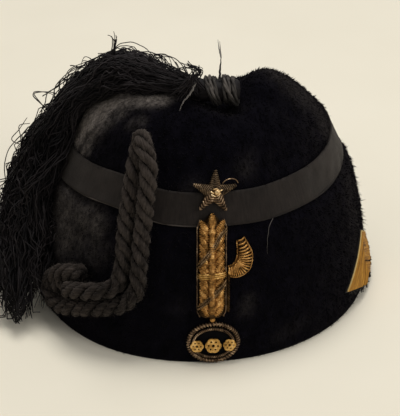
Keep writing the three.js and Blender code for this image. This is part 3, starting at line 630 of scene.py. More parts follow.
def wear_and_sheen_share(points):
    """How grey the plush is, from wear and dust and from painted sheen, from 0 to 1, with soft uneven edges.
    """
    worn = np.zeros(points.shape[:-1])
    for line, half_width, amount in WEAR_AND_SHEEN:
        away = off_line(points, line) / half_width
        worn = np.maximum(worn, amount * np.exp(-away**3))
    return np.clip(worn * (1 + 0.22 * waves(points, 9, 21) + 0.18 * waves(points, 3, 22)), 0, 1)


def plush_lift(azimuth, points):
    """How far the pile stands proud of the felt, in soft lumps, pressed in under the ribbon."""
    lumps = 0.55 * waves(points, 17, 31) + 0.35 * waves(points, 7, 32) + 0.2 * waves(points, 3.4, 33)
    low, z = ribbon_low(azimuth), points[..., 2]
    under = smoothstep((z - low + 1.2) / 2) * smoothstep((low + RIBBON_HEIGHT + 0.8 - z) / 2)
    beside = bell((z - low + 4) / 3.5) + bell((z - low - RIBBON_HEIGHT - 3.5) / 3.5)
    return ((0.1 + 0.45 * lumps + 0.6 * beside) * (1 - under) - 0.15 * under) * smoothstep(z / 3)


# Shares up the crown where the outside and the inside stop, short of the point at the gather
OUTSIDE_TOP, INSIDE_TOP = 0.9995, 0.955


def crown_piece():
    """The felt shell with its plush: down the inside to the rim, then up the outside, and two caps."""
    columns, rows, inner_rows = ((264, 110, 30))
    azimuth = np.arange(columns) / columns * 360
    t = np.linspace(0, OUTSIDE_TOP, rows)[:, None]
    felt = crown_point(azimuth, t)
    # The "worn" field holds wear and dust, and painted sheen too.
    worn = wear_and_sheen_share(felt)
    lift = plush_lift(np.broadcast_to(azimuth, worn.shape), felt)
    outer = felt + crown_axes(azimuth, t)[2] * lift[..., None]
    t = np.linspace(INSIDE_TOP, 0, inner_rows)[:, None]
    inner = crown_point(azimuth, t) - crown_axes(azimuth, t)[2] * FELT
    inner[-1, :, 2] = 0
    outer[0, :, 2] = 0
    points = np.concatenate([inner, outer]).reshape(-1, 3)
    quads = grid_quads(inner_rows + rows, columns, wrap=True)
    top, under = len(points), len(points) + 1
    points = np.concatenate([points, [outer[-1].mean(0)], [inner[0].mean(0)]])
    ring = np.arange(columns)
    after = (ring + 1) % columns
    last = (inner_rows + rows - 1) * columns
    caps = np.concatenate([
        np.stack([last + ring, last + after, np.full(columns, top)], -1),
        np.stack([after, ring, np.full(columns, under)], -1),
    ])
    field = np.concatenate([np.zeros(inner_rows * columns), worn.ravel(), [0, 0]])
    obj = piece("plush_crown", (points, quads, caps), PLUSH, "plush", "crown", worn=field)
    obj.data.materials.append(LINING)
    inside = np.zeros(len(obj.data.polygons), np.int32)
    inside[: (inner_rows - 1) * columns] = 1
    inside[len(quads) + columns:] = 1
    obj.data.polygons.foreach_set("material_index", inside)


def chevron_top(turn):
    """The height of the chevron's upper edge, at a turn from its peak."""
    return CHEVRON_PEAK_Z - CHEVRON_FALL * turn


def chevron_cut(turn):
    """The height of the chevron's cut feet, at a turn from its peak."""
    return CHEVRON_FOOT_Z - CHEVRON_RISE * (CHEVRON_FOOT_TURN - turn)


# How far the trim keeps the pile away: the reach in x and z about the medallion and the star, and margins
MEDALLION_CLEAR, STAR_CLEAR, STAR_CLEAR_RATIO = (12.6, 9.2), 7.5, 1.05
RIBBON_MARGIN, CHEVRON_MARGIN = 0.7, 0.5


def keep_off(points, azimuth):
    """True where trim lies on the felt, so that no pile grows through it."""
    x, y, z = np.moveaxis(points, -1, 0)
    front = y < 0
    above = z - ribbon_low(azimuth)
    under_ribbon = (above > RIBBON_MARGIN) & (above < RIBBON_HEIGHT - RIBBON_MARGIN)
    across, up = (x - MEDALLION_X) / MEDALLION_CLEAR[0], (z - MEDALLION_Z) / MEDALLION_CLEAR[1]
    on_medallion = front & (across**2 + up**2 < 1)
    on_star = front & (np.hypot(x - STAR_X, (z - STAR_Z) * STAR_CLEAR_RATIO) < STAR_CLEAR)
    turn = np.abs(off_turn(azimuth, CHEVRON_PEAK_TURN))
    between = (z < chevron_top(turn) + CHEVRON_MARGIN) & (z > chevron_cut(turn) - CHEVRON_MARGIN)
    on_chevron = (turn < CHEVRON_FOOT_TURN) & between
    return under_ribbon | on_medallion | on_star | on_chevron


# Spikes are drawn to spare, because those under trim are left out.
PILE_COUNT, PILE_SPARE = 42000, 1.35
PILE_LENGTH, PILE_WIDTH, PILE_ROOT = (1.0, 2.1), (0.2, 0.34), 0.35


def scattered(r, count, columns, rows):
    """Random places on the crown, as azimuth and share, evenly by the area of its cells."""
    cells = (np.arange(columns) + 0.5) * 360 / columns, (np.arange(rows) + 0.5) / rows * 0.998
    azimuth, t = np.meshgrid(*cells)
    across = (crown_point(azimuth + 1, t) - crown_point(azimuth - 1, t)) / 2 * (360 / columns)
    along = (crown_point(azimuth, t + 1e-3) - crown_point(azimuth, t - 1e-3)) / 2e-3 / rows
    area = np.linalg.norm(np.cross(across, along), axis=-1).ravel()
    pick = r.choice(area.size, count, p=area / area.sum())
    azimuth = azimuth.ravel()[pick] + r.uniform(-0.5, 0.5, count) * 360 / columns
    return azimuth, t.ravel()[pick] + r.uniform(-0.5, 0.5, count) / rows


def spikes(corners, faces):
    """Closed spikes of four corners each, the last one the tip."""
    return corners.reshape(-1, 3), (), repeated(np.array(faces), len(corners), 4)


def nap_piece():
    """The pile: small closed spikes that lean down the wall and swirl in tufts."""
    r = np.random.default_rng(3)
    azimuth, t = scattered(r, int(PILE_COUNT * PILE_SPARE), 180, 90)
    p = crown_point(azimuth, t)
    free = np.flatnonzero(~keep_off(p, azimuth))[:PILE_COUNT]
    azimuth, t, p = azimuth[free], t[free], p[free]
    around, up, normal = crown_axes(azimuth, t)
    # The "worn" field holds painted sheen as well as wear, and shortens the pile in both.
    worn = wear_and_sheen_share(p)
    p = p + normal * plush_lift(azimuth, p)[:, None]
    swirl = 0.9 * waves(p, 11, 41) + 0.6 * waves(p, 4.5, 42)
    rise = 0.55 * waves(p, 8, 43) + 0.35 * waves(p, 3.5, 44)
    lean = -up * (0.9 - 0.5 * rise)[:, None] + around * swirl[:, None] + r.normal(0, 0.25, p.shape)
    stand = 0.75 + 0.45 * rise + r.normal(0, 0.12, len(p))
    direction = unit(normal * stand[:, None] + lean * 0.75)
    length = r.uniform(*PILE_LENGTH, len(p)) * (1 - 0.45 * worn)
    length *= np.where(p[:, 2] < 3, 0.55, 1.0)
    clump = smoothstep((waves(unrolled(azimuth * 1.6, p[:, 2]), 3.2, 45) - 0.75) / 0.35)
    at_side = smoothstep((p[:, 0] - 55) / 20)
    length *= 1 + (0.35 + 0.75 * at_side) * clump
    width = r.uniform(*PILE_WIDTH, len(p))[:, None]
    side = unit(np.cross(direction, normal) + 1e-6)
    over = np.cross(side, direction)
    root = p - normal * PILE_ROOT
    tip = p + direction * length[:, None]
    corners = np.stack([root + side * width, root - side * width, root + over * (width * 1.2), tip], 1)
    corners[..., 2] = np.maximum(corners[..., 2], 0.02)
    part = spikes(corners, [[2, 1, 0], [3, 0, 1], [3, 1, 2], [3, 2, 0]])
    piece("plush_nap", part, PLUSH, "plush", worn=np.repeat(worn, 4))


# ---------------------------------------------------------------- ribbon
def unrolled(azimuth, z=0.0):
    """Places on the wall laid flat, for waves over it."""
    azimuth, z = np.broadcast_arrays(azimuth, z)
    return np.stack([azimuth, z, 0 * z], -1)


RIBBON_INSIDE, RIBBON_OUTSIDE = 0.45, 1.25
# Azimuths where the ribbon starts, where it begins to climb over its own start, and where it ends
RIBBON_START, RIBBON_LAP, RIBBON_END = 96, 455.2, 462
RIBBON_LOOSE, RIBBON_LOOSE_SPREAD = 222, 34


def ribbon_wander(azimuth):
    """The ribbon's lower edge, which wanders a little up and down."""
    return ribbon_low(azimuth) + 0.25 * waves(unrolled(azimuth), 40, 51)


def ribbon_loose(azimuth):
    """1 at the middle of the stretch whose lower edge stands off the felt, and 0 away from it."""
    return smoothstep(1 - np.abs((azimuth - RIBBON_LOOSE) / RIBBON_LOOSE_SPREAD))


def ribbon_piece():
    """The band goes once round and laps over its own end at the back."""
    columns, rows = ((480, 14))
    azimuth = np.linspace(RIBBON_START, RIBBON_END, columns)[:, None]
    share = np.linspace(0, 1, rows)
    z = ribbon_wander(azimuth[:, 0])[:, None] + RIBBON_HEIGHT * share
    place = unrolled(azimuth * 1.2, z)
    slack = 0.28 * waves(place, 30, 52) + 0.14 * waves(place, 9, 53)
    lap = smoothstep((azimuth - RIBBON_LAP) / 1.6) * 0.85
    lifted = 0.5 * smoothstep((0.25 - share) / 0.25) * ribbon_loose(azimuth)
    edge = np.abs(2 * share - 1)
    selvedge = 0.32 * smoothstep((edge - 0.9) / 0.1) - 0.2 * smoothstep((edge - 0.97) / 0.03)
    lift = slack + lifted + lap
    outer = wall_point(azimuth, z, RIBBON_OUTSIDE + selvedge + lift)
    inner = wall_point(azimuth, z, RIBBON_INSIDE + lift)
    v = np.concatenate([share, share[::-1]]) * RIBBON_HEIGHT
    piece("ribbon_band", band(outer, inner, v, 0), RIBBON, "grosgrain", "ribbon")


def selvedge_piece():
    """The firm edge cord woven into the ribbon's lower edge, paler where light falls on it."""
    azimuth = np.linspace(100, 452, 520)
    lift = 0.95 + 0.5 * ribbon_loose(azimuth) + 0.1 * waves(unrolled(azimuth * 1.2), 30, 52)
    path = wall_point(azimuth, ribbon_wander(azimuth) + 0.05, lift)
    p, q, t, _ = sweep(path[None], 0.42, 6)
    lit = smoothstep((p[:, 1] + 30) / -30) * smoothstep((p[:, 0] - 10) / -30)
    piece("ribbon_selvedge", (p, q, t), SELVEDGE, "grosgrain", shade=lit)


# ---------------------------------------------------------------- cord
CORD_RADIUS = 4.35
CORD_LAY = 21.0
CORD_STRANDS, CORD_YARNS = 3, 8
# azimuth, z, lift
CORD_ROUTE = np.array([
    (-135, 24.6, 9.2), (-125.5, 29.5, 8.8), (-119.5, 33, 7.6), (-116.5, 37, 5.6), (-116, 43.3, 4.9),
    (-116, 53, 4.8), (-117, 63.5, 6.1), (-117.2, 77.5, 6.2), (-117.5, 88.8, 5.8), (-117.5, 95.6, 5),
    (-116, 101.2, 8.2), (-112.1, 98.9, 13.6), (-109, 90.6, 13), (-109.6, 80, 10.5), (-110.2, 67, 7.6),
    (-110.3, 55, 5.2), (-110.1, 42, 4.8), (-110.5, 35, 4.8), (-113, 29.3, 4.8), (-116.5, 25.6, 4.8),
    (-121, 23, 4.7), (-127, 19.6, 4.8), (-133, 16, 4.8), (-139.5, 13, 4.9), (-144, 14.5, 5),
    (-145.5, 20.5, 5.1), (-143, 26.3, 5), (-138, 30.8, 4.9), (-133, 33.8, 4.8), (-129.5, 35.2, 4.7),
])
# The second of the knot's two ends, tucked in beside the first.
TUCKED_END = np.array([(-139.8, 18.8, 4.8), (-140.2, 24, 4.6), (-138, 30.4, 4.2), (-133, 33.6, 4.0)])


def cord_path(route):
    """A route of azimuth, z and lift as a smooth path in even steps."""
    azimuth, z, lift = route.T
    return resample(catmull(wall_point(azimuth, z, lift), 16), 0.95)


def laid_rope(path, seed):
    """A three-strand rope, each strand a ring of yarns that lie the other way. Its grooves and the strands'
    cores carry painted shade, and it is painted lighter towards its top.
    """
    side, over = side_frames(path)
    s = np.arange(len(path)) * np.linalg.norm(path[1] - path[0])
    strand_reach = CORD_RADIUS / (1 + math.sin(math.pi / 3))
    strand_radius = CORD_RADIUS - strand_reach
    yarn_radius = strand_radius * 0.36
    ends = np.sqrt(np.clip(np.minimum(s, s[-1] - s) / 3.2, 0.02, 1))
    x, z = path[:, 0], path[:, 2]
    # The top of the loop and the knot are painted lighter than the lower legs, and a band about 34 mm up a
    # little darker.
    tone_shift = 0.45 * smoothstep((z - 50) / 25) - 0.12 * bell((z - 34) / 10) + 0.5 * smoothstep((-45 - x) / 15)
    lit = 0.72 + 0.28 * smoothstep((z - 20) / 70)
    paths, radii, shades = [], [], []
    r = np.random.default_rng(seed)
    for strand in range(CORD_STRANDS):
        sway = 0.16 * np.sin(s / 9.0 + 2 * strand)
        phase = -2 * np.pi * s / CORD_LAY + strand * 2 * np.pi / CORD_STRANDS + sway
        out = circled(phase, side, over)
        centre = path + out * (strand_reach * ends)[:, None]
        paths.append(centre)
        radii.append(strand_radius * 0.7 * ends)
        # The strand's core, seen between its yarns, is painted dark as shade.
        shades.append(np.full(len(path), 0.1))
        along = unit(np.gradient(centre, axis=0))
        across = unit(np.cross(along, out))
        outward = np.cross(across, along)
        for yarn in range(CORD_YARNS):
            turn = yarn * 2 * np.pi / CORD_YARNS + 2 * np.pi * s / CORD_LAY * 2.5
            wander = 0.16 * ripple(r, s, 0.5, 1.1) + 0.12 * ripple(r, s, 1.5, 3)
            reach = (strand_radius - yarn_radius * 0.9 + wander) * ends
            paths.append(centre + circled(turn, outward, across) * reach[:, None])
            radii.append(yarn_radius * (1.08 + 0.6 * wander) * ends)
            # Yarns near the rope's axis, down in its grooves, are painted darker as shade.
            away = np.linalg.norm(paths[-1] - path, axis=1) / CORD_RADIUS
            own = r.uniform(0.35, 1.0) + 0.25 * ripple(r, s, 1, 4) + tone_shift
            shades.append(own * smoothstep((away - 0.42) / 0.42) * lit)
    sides = 6
    part = sweep(np.array(paths), np.array(radii), sides, up=ROPE_UP)
    return part, np.repeat(np.array(shades).ravel(), sides)


def fuzz(path, seed):
    """Loose fibre ends that stand off a cord: thin closed spikes, some dark and some light."""
    count, reach, width = 7000, 2.0, 0.085
    r = np.random.default_rng(seed)
    at = r.integers(1, len(path) - 1, count)
    tangent = unit(np.gradient(path, axis=0))[at]
    out = unit(np.cross(tangent, r.normal(size=(count, 3))))
    root = path[at] + out * CORD_RADIUS * r.uniform(0.8, 0.98, count)[:, None]
    lean = out + 0.9 * r.normal(size=out.shape) * 0.6 + tangent * r.normal(0, 0.8, count)[:, None]
    tip = root + unit(lean) * r.uniform(0.4, 1, count)[:, None] * reach
    shade = np.where(r.uniform(size=count) < 0.4, 0.0, r.uniform(0.4, 1.0, count))
    direction = unit(tip - root)
    side = unit(np.cross(direction, out) + 1e-6)
    over = np.cross(side, direction)
    back = root - side * width * 0.5
    corners = np.stack([root + side * width, back + over * width, back - over * width, tip], 1)
    part = spikes(corners, [[1, 2, 0], [3, 1, 0], [3, 2, 1], [3, 0, 2]])
    return part, np.repeat(shade, 4)


def cord_piece():
    """The laid cord with its tucked end, and its fuzz."""
    path, tuck = cord_path(CORD_ROUTE), cord_path(TUCKED_END)
    (main, shade), (short, short_shade) = laid_rope(path, 5), laid_rope(tuck, 6)
    shade = np.concatenate([shade, short_shade])
    piece("laid_cord", joined([main, short]), CORD, "cord_cotton", "cord", shade=shade)
    part, shade = fuzz(np.concatenate([path, tuck]), 7)
    piece("cord_fuzz", part, CORD, "cord_cotton", shade=shade)


# ---------------------------------------------------------------- tassel
# The front, middle and back of the tassel's fall, from its neck to its tip.
TASSEL_ROUTES = np.array([
    [
        (0, -37, 118), (-9, -37, 118.5), (-22, -31, 119.5), (-35, -24, 118.5), (-47, -20, 113.5),
        (-57, -19, 104.5), (-66, -19, 94), (-73, -21, 80), (-78, -29, 61), (-82, -40, 43),
        (-84, -52, 26), (-84, -68, 5.5),
    ], [
        (0, -37, 118), (-9, -33, 119), (-22, -27, 119.5), (-36, -18, 119.5), (-47, -13, 114.5),
        (-57, -11, 103.5), (-68, -11, 91), (-79, -13, 78.5), (-87, -19, 62), (-91, -30, 44),
        (-93, -47, 25), (-92, -68, 4.5),
    ], [
        (0, -37, 118), (-9, -29, 118.5), (-22, -19, 118.5), (-35, -7, 116), (-46, -1, 111),
        (-58, 1, 100), (-69, 3, 85), (-79, 5, 70.5), (-88, 2, 55), (-94, -8, 38),
        (-97, -24, 21), (-98, -47, 6),
    ],
])
# across, reach, proud
TASSEL_LOCKS = np.array([
    (0, 0.955, 0), (0.17, 0.995, 1.5), (0.34, 0.96, 0), (0.5, 1, 1.8), (0.67, 0.95, 0), (0.84, 0.99, 1.5),
    (1, 0.94, 0),
])
# share, half width, half depth
LOCK_SECTIONS = np.array([
    (0, 2.8, 2.8), (0.12, 4.4, 3.8), (0.3, 6.2, 5.6), (0.45, 5.8, 4.8), (0.62, 8.2, 7), (0.85, 7.6, 7),
    (1, 6.4, 5),
])
LOCK_CLEARANCE = 2.2
ROUTE_STEPS = 88
ROUTE_SHARES = np.arange(ROUTE_STEPS + 1) / ROUTE_STEPS
LOCK_WIDTH, LOCK_DEPTH = (np.interp(ROUTE_SHARES, LOCK_SECTIONS[:, 0], half) for half in LOCK_SECTIONS.T[1:])
# Near the neck the strands gather towards the front lock, lower than the solid locks.
GATHER = 0.45 * bell((ROUTE_SHARES - 0.1) / 0.09)
STRAND_LENGTH = 190
FLYAWAYS_TOP, TUFTS_TOP = 138.0, 139.5


def lock_lattice():
    """Centre, sideways and outward directions of each lock, at even shares of its route."""
    azimuth, t = np.meshgrid(np.arange(0, 360, 5), np.arange(0, 1, 0.02), indexing="ij")
    samples = crown_point(azimuth, t).reshape(-1, 3)
    normals = crown_axes(azimuth, t)[2].reshape(-1, 3)
    lattice = []
    for across, _, proud in TASSEL_LOCKS:
        weights = 2 * (across - 0.5) * (across - 1), -4 * across * (across - 1), 2 * across * (across - 0.5)
        curve = catmull(sum(weight * route for weight, route in zip(weights, TASSEL_ROUTES)), 8)
        along = unit(np.gradient(curve, axis=0))
        away = np.linalg.norm(curve[:, None] - samples[None], axis=-1)
        nearest = away.min(1)
        normal = unit(bell((away - nearest[:, None]) / 8) @ normals)
        centre = curve + normal * np.maximum(0, LOCK_DEPTH + LOCK_CLEARANCE - nearest)[:, None]
        sideways = unit(np.cross(along, normal))
        outward = np.cross(sideways, along)
        centre = centre + outward * (proud * smoothstep(ROUTE_SHARES * 4))[:, None]
        lattice.append((centre, sideways, outward))
    return np.array(lattice)


LATTICE = lock_lattice()
LATTICE[:, 0] += (LATTICE[:1, 0] - LATTICE[:, 0]) * GATHER[:, None]


def on_locks(lock, share):
    """The lattice at fractional shares: centre, sideways, outward, half width, half depth."""
    place = np.clip(share, 0, 1) * ROUTE_STEPS
    i = np.minimum(place.astype(int), ROUTE_STEPS - 1)
    w = (place - i)[..., None]
    row = lock[:, None]
    mixed = [LATTICE[row, k, i] * (1 - w) + LATTICE[row, k, i + 1] * w for k in range(3)]
    return (*mixed, *(np.interp(share, ROUTE_SHARES, half) for half in (LOCK_WIDTH, LOCK_DEPTH)))


def crinkle(r, count, length, low, high):
    """Two sideways offsets that wave irregularly along strands of that length."""
    pair = []
    for _ in range(2):
        total = 0
        for scale, share in ((1.0, 0.55), (0.42, 0.38), (2.4, 0.9)):
            wave = r.uniform(10, 19, (count, 1)) * scale
            total = total + share * np.sin(2 * np.pi * length / wave + r.uniform(0, 6.28, (count, 1)))
        pair.append(total * r.uniform(low, high, (count, 1)))
    return pair


def offset(centre, sideways, outward, across, over):
    """Points across and over from the middle of a lock."""
    return centre + sideways * across[..., None] + outward * over[..., None]


def strand_piece(name, paths, radius, shade, *replaced):
    """Threads of three sides. shade is one value for each thread, or one for each point of its path."""
    sides = 3
    shade = np.broadcast_to(shade[:, None] if shade.ndim == 1 else shade, paths.shape[:2])
    shade = np.repeat(shade.ravel(), sides)
    part = sweep(paths, radius, sides, up=STRAND_UP)
    piece(name, part, TASSEL, "black_thread", *replaced, shade=shade)


def strands(name, wisps, per_wisp, steps, seed, layer, thickness, light, fine, *replaced):
    """Strands that keep together in wisps. The wisps wander round their lock, and close at their tips."""
    r = np.random.default_rng(seed)
    lock = np.arange(wisps) % len(TASSEL_LOCKS)
    reach = TASSEL_LOCKS[lock, 1] * r.uniform(0.88, 1.03, wisps)
    wisp = np.repeat(np.arange(wisps), per_wisp)
    count = len(wisp)
    ends = (reach[wisp] * (1 - 0.05 * r.uniform(0, 1, count) ** 2))[:, None]
    share = np.linspace(0, 1, steps)[None] * ends
    centre, sideways, outward, width, depth = on_locks(lock[wisp], share)

    def each(low, high):
        return r.uniform(low, high, (wisps, 1))[wisp]

    def near_tip(start, reach):
        return smoothstep((share / ends - start) / reach)

    turn = each(0, 6.28) + 1.3 * np.sin(share * each(2, 6) + each(0, 6))
    turn = turn + 0.8 * np.sin(share * each(9, 17) + each(0, 6))
    tight = 1 - 0.32 * bell((share - 0.47) / 0.1) - 0.28 * bell((share - 0.1) / 0.06)
    out = np.sqrt(each(*layer)) * tight * (1 + 0.16 * np.sin(share * each(5, 14) + each(0, 6)))
    length = share * STRAND_LENGTH
    c1, c2 = crinkle(r, wisps, length[::per_wisp], 0.6, 1.4)
    o1, o2 = crinkle(r, count, length, 0.35, 1.1)
    kink = r.uniform(4.4, 7.5, (2, count, 1))
    size = fine * r.uniform(0.5, 1.4, (2, count, 1))
    bent = 2.5 * np.sin(length / 9 + r.uniform(0, 6, (2, count, 1)))
    kinks = size * np.sin(2 * np.pi * length / kink + bent)
    fade = smoothstep(share / 0.3)
    closing = (1 - 0.6 * near_tip(0.7, 0.3)) * (0.35 + 0.65 * fade)
    loose = np.where(r.uniform(size=(count, 1)) < 0.16, 2.2, 1.0)
    spread = r.normal(0, 1.15, (2, count, 1)) * loose * closing
    fade = fade * tight * (1 + 0.9 * near_tip(0.62, 0.3))
    across = width * out * np.cos(turn) + c1[wisp] * fade + (o1 + kinks[0]) * fade + spread[0] * tight
    over = depth * out * np.sin(turn) + c2[wisp] * fade + (o2 + kinks[1]) * fade + spread[1] * tight
    path = offset(centre, sideways, outward, across, over)
    path[..., 2] = np.maximum(path[..., 2], r.uniform(1.2, 4.0, (count, 1)))
    radius = r.uniform(*thickness, (count, 1)) * (1 - 0.45 * near_tip(0.93, 0.07))
    shade = r.normal(light, 0.2, (wisps, 1))[wisp] + r.normal(0, 0.22, count)[:, None]
    # Painted highlight: lighter strands over the top of the fall, a little way from the neck, in the lighter
    # layers.
    shade = np.clip(shade, 0, 1) + 0.85 * bell((share - 0.17) / 0.14) * (light > 0.3)
    strand_piece(name, path, radius, shade, *replaced)


def flyaways():
    """Loose strands: most bow out of the tassel and come back, and the rest end in the air in a curl."""
    r = np.random.default_rng(12)
    count, steps = ((300, 40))

    def each(low, high):
        return r.uniform(low, high, (count, 1))

    lock = r.integers(0, len(TASSEL_LOCKS), count)
    start = 0.05 + 0.89 * r.uniform(0.0, 1.0, count) ** 1.7
    span = r.uniform(0.05, 0.2, count)
    s = np.linspace(0, 1, steps)[None]
    share = start[:, None] + span[:, None] * s
    centre, sideways, outward, width, depth = on_locks(lock, np.minimum(share, 0.99))
    free = r.uniform(size=(count, 1)) < 0.35
    bow = np.where(free, s**1.5, np.sin(np.pi * s ** each(0.7, 1.4)))
    lift = each(0.5, 1.0) ** 2 * np.where(r.uniform(size=(count, 1)) < 0.33, 10.0, 5.0) * bow
    angle = each(0.1, np.pi - 0.1) + each(-0.5, 0.5) * s
    c1, c2 = crinkle(r, count, share * STRAND_LENGTH, 0.1, 0.4)
    rooted = np.where(free, smoothstep(s * 5), smoothstep(s * 5) * smoothstep((1 - s) * 5))
    curl = each(0.8, 2.4) * smoothstep((s - 0.45) / 0.55) * free
    wind = each(-1, 1) * 7 * s + each(0, 6.28)
    across = (width * 0.85 + lift) * np.cos(angle) + c1 * rooted + curl * np.cos(wind)
    over = (depth * 0.8 + lift) * np.sin(angle) + c2 * rooted + curl * np.sin(wind)
    path = offset(centre, sideways, outward, across, over)
    path[..., 2] = np.clip(path[..., 2], 1.5, FLYAWAYS_TOP)
    strand_piece("tassel_flyaways", path, each(0.22, 0.36), r.uniform(0.2, 0.9, count))


# Ends that stand up in a curling tuft by the neck, and on the hump: root, tip, bend, spread, count
CURLED_ENDS = [
    ((0.5, -41, 120.5), (-5.0, -38, 127.5), (-2.5, 0, 2.5), 1.2, 12),
    ((-2.0, -42, 119.0), (-10.0, -41, 123.5), (0.0, 0, 3.0), 1.8, 24),
    ((-44, -13, 126.0), (-43.5, -10, 137.0), (0.8, 0, 0.5), 0.9, 9),
]
# The first of them are thicker, as they are by the neck.
THICK_ENDS = 12 + 24
# Ends that arch over and down again: root, middle, bend, tip, spread of the first three, count
ARCHED_ENDS = [
    ((-11, -46, 120.5), (-4.8, -46, 126), (-1.2, -44, 131.5), (-6.8, -43, 133.5), (3.6, 1.2, 1.8), 22),
    ((-26, -28, 126.5), (-22, -27, 132), (-17.5, -27.5, 132.5), (-14, -31, 125.5), (1.0, 1.6, 1.6), 3),
    ((-70, -5, 106), (-67, -5, 114), (-61, -6, 117.5), (-52, -9, 121), (1.0, 1.2, 2.0), 2),
    ((-52, -9, 121.5), (-57, -8, 121.5), (-61.5, -6, 119.5), (-62, -5, 115.5), (1.0, 1.2, 1.6), 2),
    ((-80, -2, 92), (-82, 0, 97), (-77, -1, 99.5), (-70, -4, 99), (1.5, 2.0, 2.0), 2),
    ((-90, -4, 70), (-95, -2, 74), (-95, -2, 81), (-87, -4, 87), (2.0, 3.0, 2.5), 2),
]


def tufts():
    """Short ends that stand up out of the tassel."""
    r = np.random.default_rng(13)
    s = np.linspace(0, 1, 30)[:, None]
    ahead, aloft = np.array([1.0, 0.2, 0.0]), np.array([0.0, -0.2, 1.0])
    paths = []
    for *knots, spread, count in CURLED_ENDS:
        root, tip, bend = np.array(knots, float)
        for _ in range(count):
            a = root + r.normal(0, 0.8, 3)
            b = tip + r.normal(0, spread, 3) - (tip - root) * r.uniform(0, 0.45)
            curl = r.uniform(0.4, 1.5) * smoothstep((s - 0.5) / 0.5)
            wind = r.uniform(3, 6.5) * s + r.uniform(2.2, 3.6)
            line = a + (b - a) * s + bend * np.sin(np.pi * s)
            paths.append(line + curl * (np.cos(wind) * ahead + np.sin(wind) * aloft))
    for *knots, spread, count in ARCHED_ENDS:
        spreads = [np.array([w, 0.7, w * 0.6]) for w in (*spread, spread[2] * 1.2)]
        for _ in range(count):
            moved = [np.array(knot, float) + r.normal(0, 1, 3) * w for knot, w in zip(knots, spreads)]
            line = catmull(moved, 16)
            length = walked(line)
            paths.append(picked(line, length, s[:, 0] * length[-1]))
    paths = np.array(paths)
    paths[..., 2] = np.minimum(paths[..., 2], TUFTS_TOP)
    count = len(paths)
    thick, thin = r.uniform(0.38, 0.52, count), r.uniform(0.26, 0.38, count)
    radius = np.where(np.arange(count) < THICK_ENDS, thick, thin)[:, None] * (1 - 0.45 * s[:, 0])
    strand_piece("tassel_tufts", paths, radius, r.uniform(0.2, 0.9, count))


def tassel_core():
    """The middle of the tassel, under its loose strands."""
    rings, sides = 60, 14
    share = np.linspace(0, 0.93, rings)
    lock = np.arange(len(TASSEL_LOCKS))
    centre, sideways, outward, width, depth = on_locks(lock, np.broadcast_to(share, (len(lock), rings)))
    centre = centre[:, :, None]
    thin = 0.5 * (1 - 0.75 * smoothstep((share - 0.7) / 0.3)) * (0.55 + 0.45 * smoothstep(share / 0.25))
    turn = circle(sides, 0.5)[:, None]
    points = centre + (width * thin)[..., None, None] * np.cos(turn) * sideways[:, :, None]
    points = points - (depth * thin)[..., None, None] * np.sin(turn) * outward[:, :, None]
    points = points + 0.5 * unit(points - centre) * waves(points, 3, 61)[..., None]
    points = points.reshape(-1, 3)
    faces = [repeated(tube, len(lock), rings * sides) for tube in tube_faces(rings, sides)]
    # The core gets the darkest shade, as painted shade between the wisps.
    piece("tassel_core", (points, *faces), TASSEL, "black_thread", shade=np.zeros(len(points)))


# In the "how light" column, the under layer is painted darker as shade inside the tassel, and the crinkled
# outer layer lighter as painted sheen.
# name, wisps, strands in each, steps, seed, layer, thickness, how light, kinks, nodes that it stands for
STRAND_LAYERS = [
    ("tassel_strands", *(((77, 7, 48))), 10, (0.3, 1.15), (0.27, 0.40), 0.32, 0.0,
     "tassel"),
    ("tassel_under", *(((63, 7, 26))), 11, (0.0, 0.5), (0.34, 0.48), 0.2, 0.0),
    ("tassel_crinkled", *(((35, 4, 150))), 14, (0.75, 1.3), (0.25, 0.36), 0.66, 0.42),
]


def strand_layers():
    for layer in STRAND_LAYERS:
        strands(*layer)


# ---------------------------------------------------------------- binding and loose threads
# Slanted turns of cord round the neck: x, slant, proud, how light, which paints highlights on some turns
BINDING_TURNS = [
    (4.8, 2.4, 1.0, 0.55), (6.3, 2.1, 1.3, 1.0), (8.0, 1.7, 0.9, 0.45),
    (11.8, 0.8, 0.8, 0.4), (13.9, 0.6, 1.2, 0.7), (16.8, 1.3, 0.9, 0.5), (14.5, 3.4, 1.7, 0.9),
]
# x, radius
NECK_PROFILE = [(-4, 0.3), (-4, 3.6), (0, NECK_RADIUS), (17.6, NECK_RADIUS), (18.9, 4.6), (19.5, 0.3)]


def round_neck(x, reach, turn):
    """Points round the neck's axis, which runs along X."""
    y, z = NECK_Y - reach * np.sin(turn), NECK_Z + reach * np.cos(turn)
    return np.stack(np.broadcast_arrays(x, y, z), -1)


def binding_piece():
    """Two groups of slanted turns of twisted cord round the neck, with painted shade underneath, and the neck
    in them.
    """
    parts, lights = [], []
    turn = np.linspace(0, 2 * np.pi, 72)
    for x, slant, proud, light in BINDING_TURNS:
        path = round_neck(x - slant * np.cos(turn), NECK_RADIUS + proud, turn)
        parts.append(twisted(path, 0.4, 0.72, 15, 6))
        lights.append(np.full(len(parts[-1][0]), light))
    p, q, t, uv = joined(parts)
    # Painted shade: the turns get darker towards the underside of the neck.
    above = smoothstep((p[:, 2] - NECK_Z + 3.6) / 9)
    shade = np.concatenate(lights) ** 1.4 * (0.85 + 0.6 * waves(p, 3, 71)) * above
    piece("neck_cord", (p, q, t, uv), BINDING, "binding_thread", "neck_binding", shade=shade)
    sides = 32
    points = np.concatenate([round_neck(x, radius, circle(sides)) for x, radius in NECK_PROFILE])
    lumps = np.stack([0 * points[:, 0], waves(points, 3, 72), waves(points, 3, 73)], -1)
    part = points + 0.35 * lumps, *tube_faces(len(NECK_PROFILE), sides, flip=True)
    piece("tassel_neck", part, TASSEL, "black_thread", shade=np.full(len(points), 0.2))


THREAD_STEPS = 60
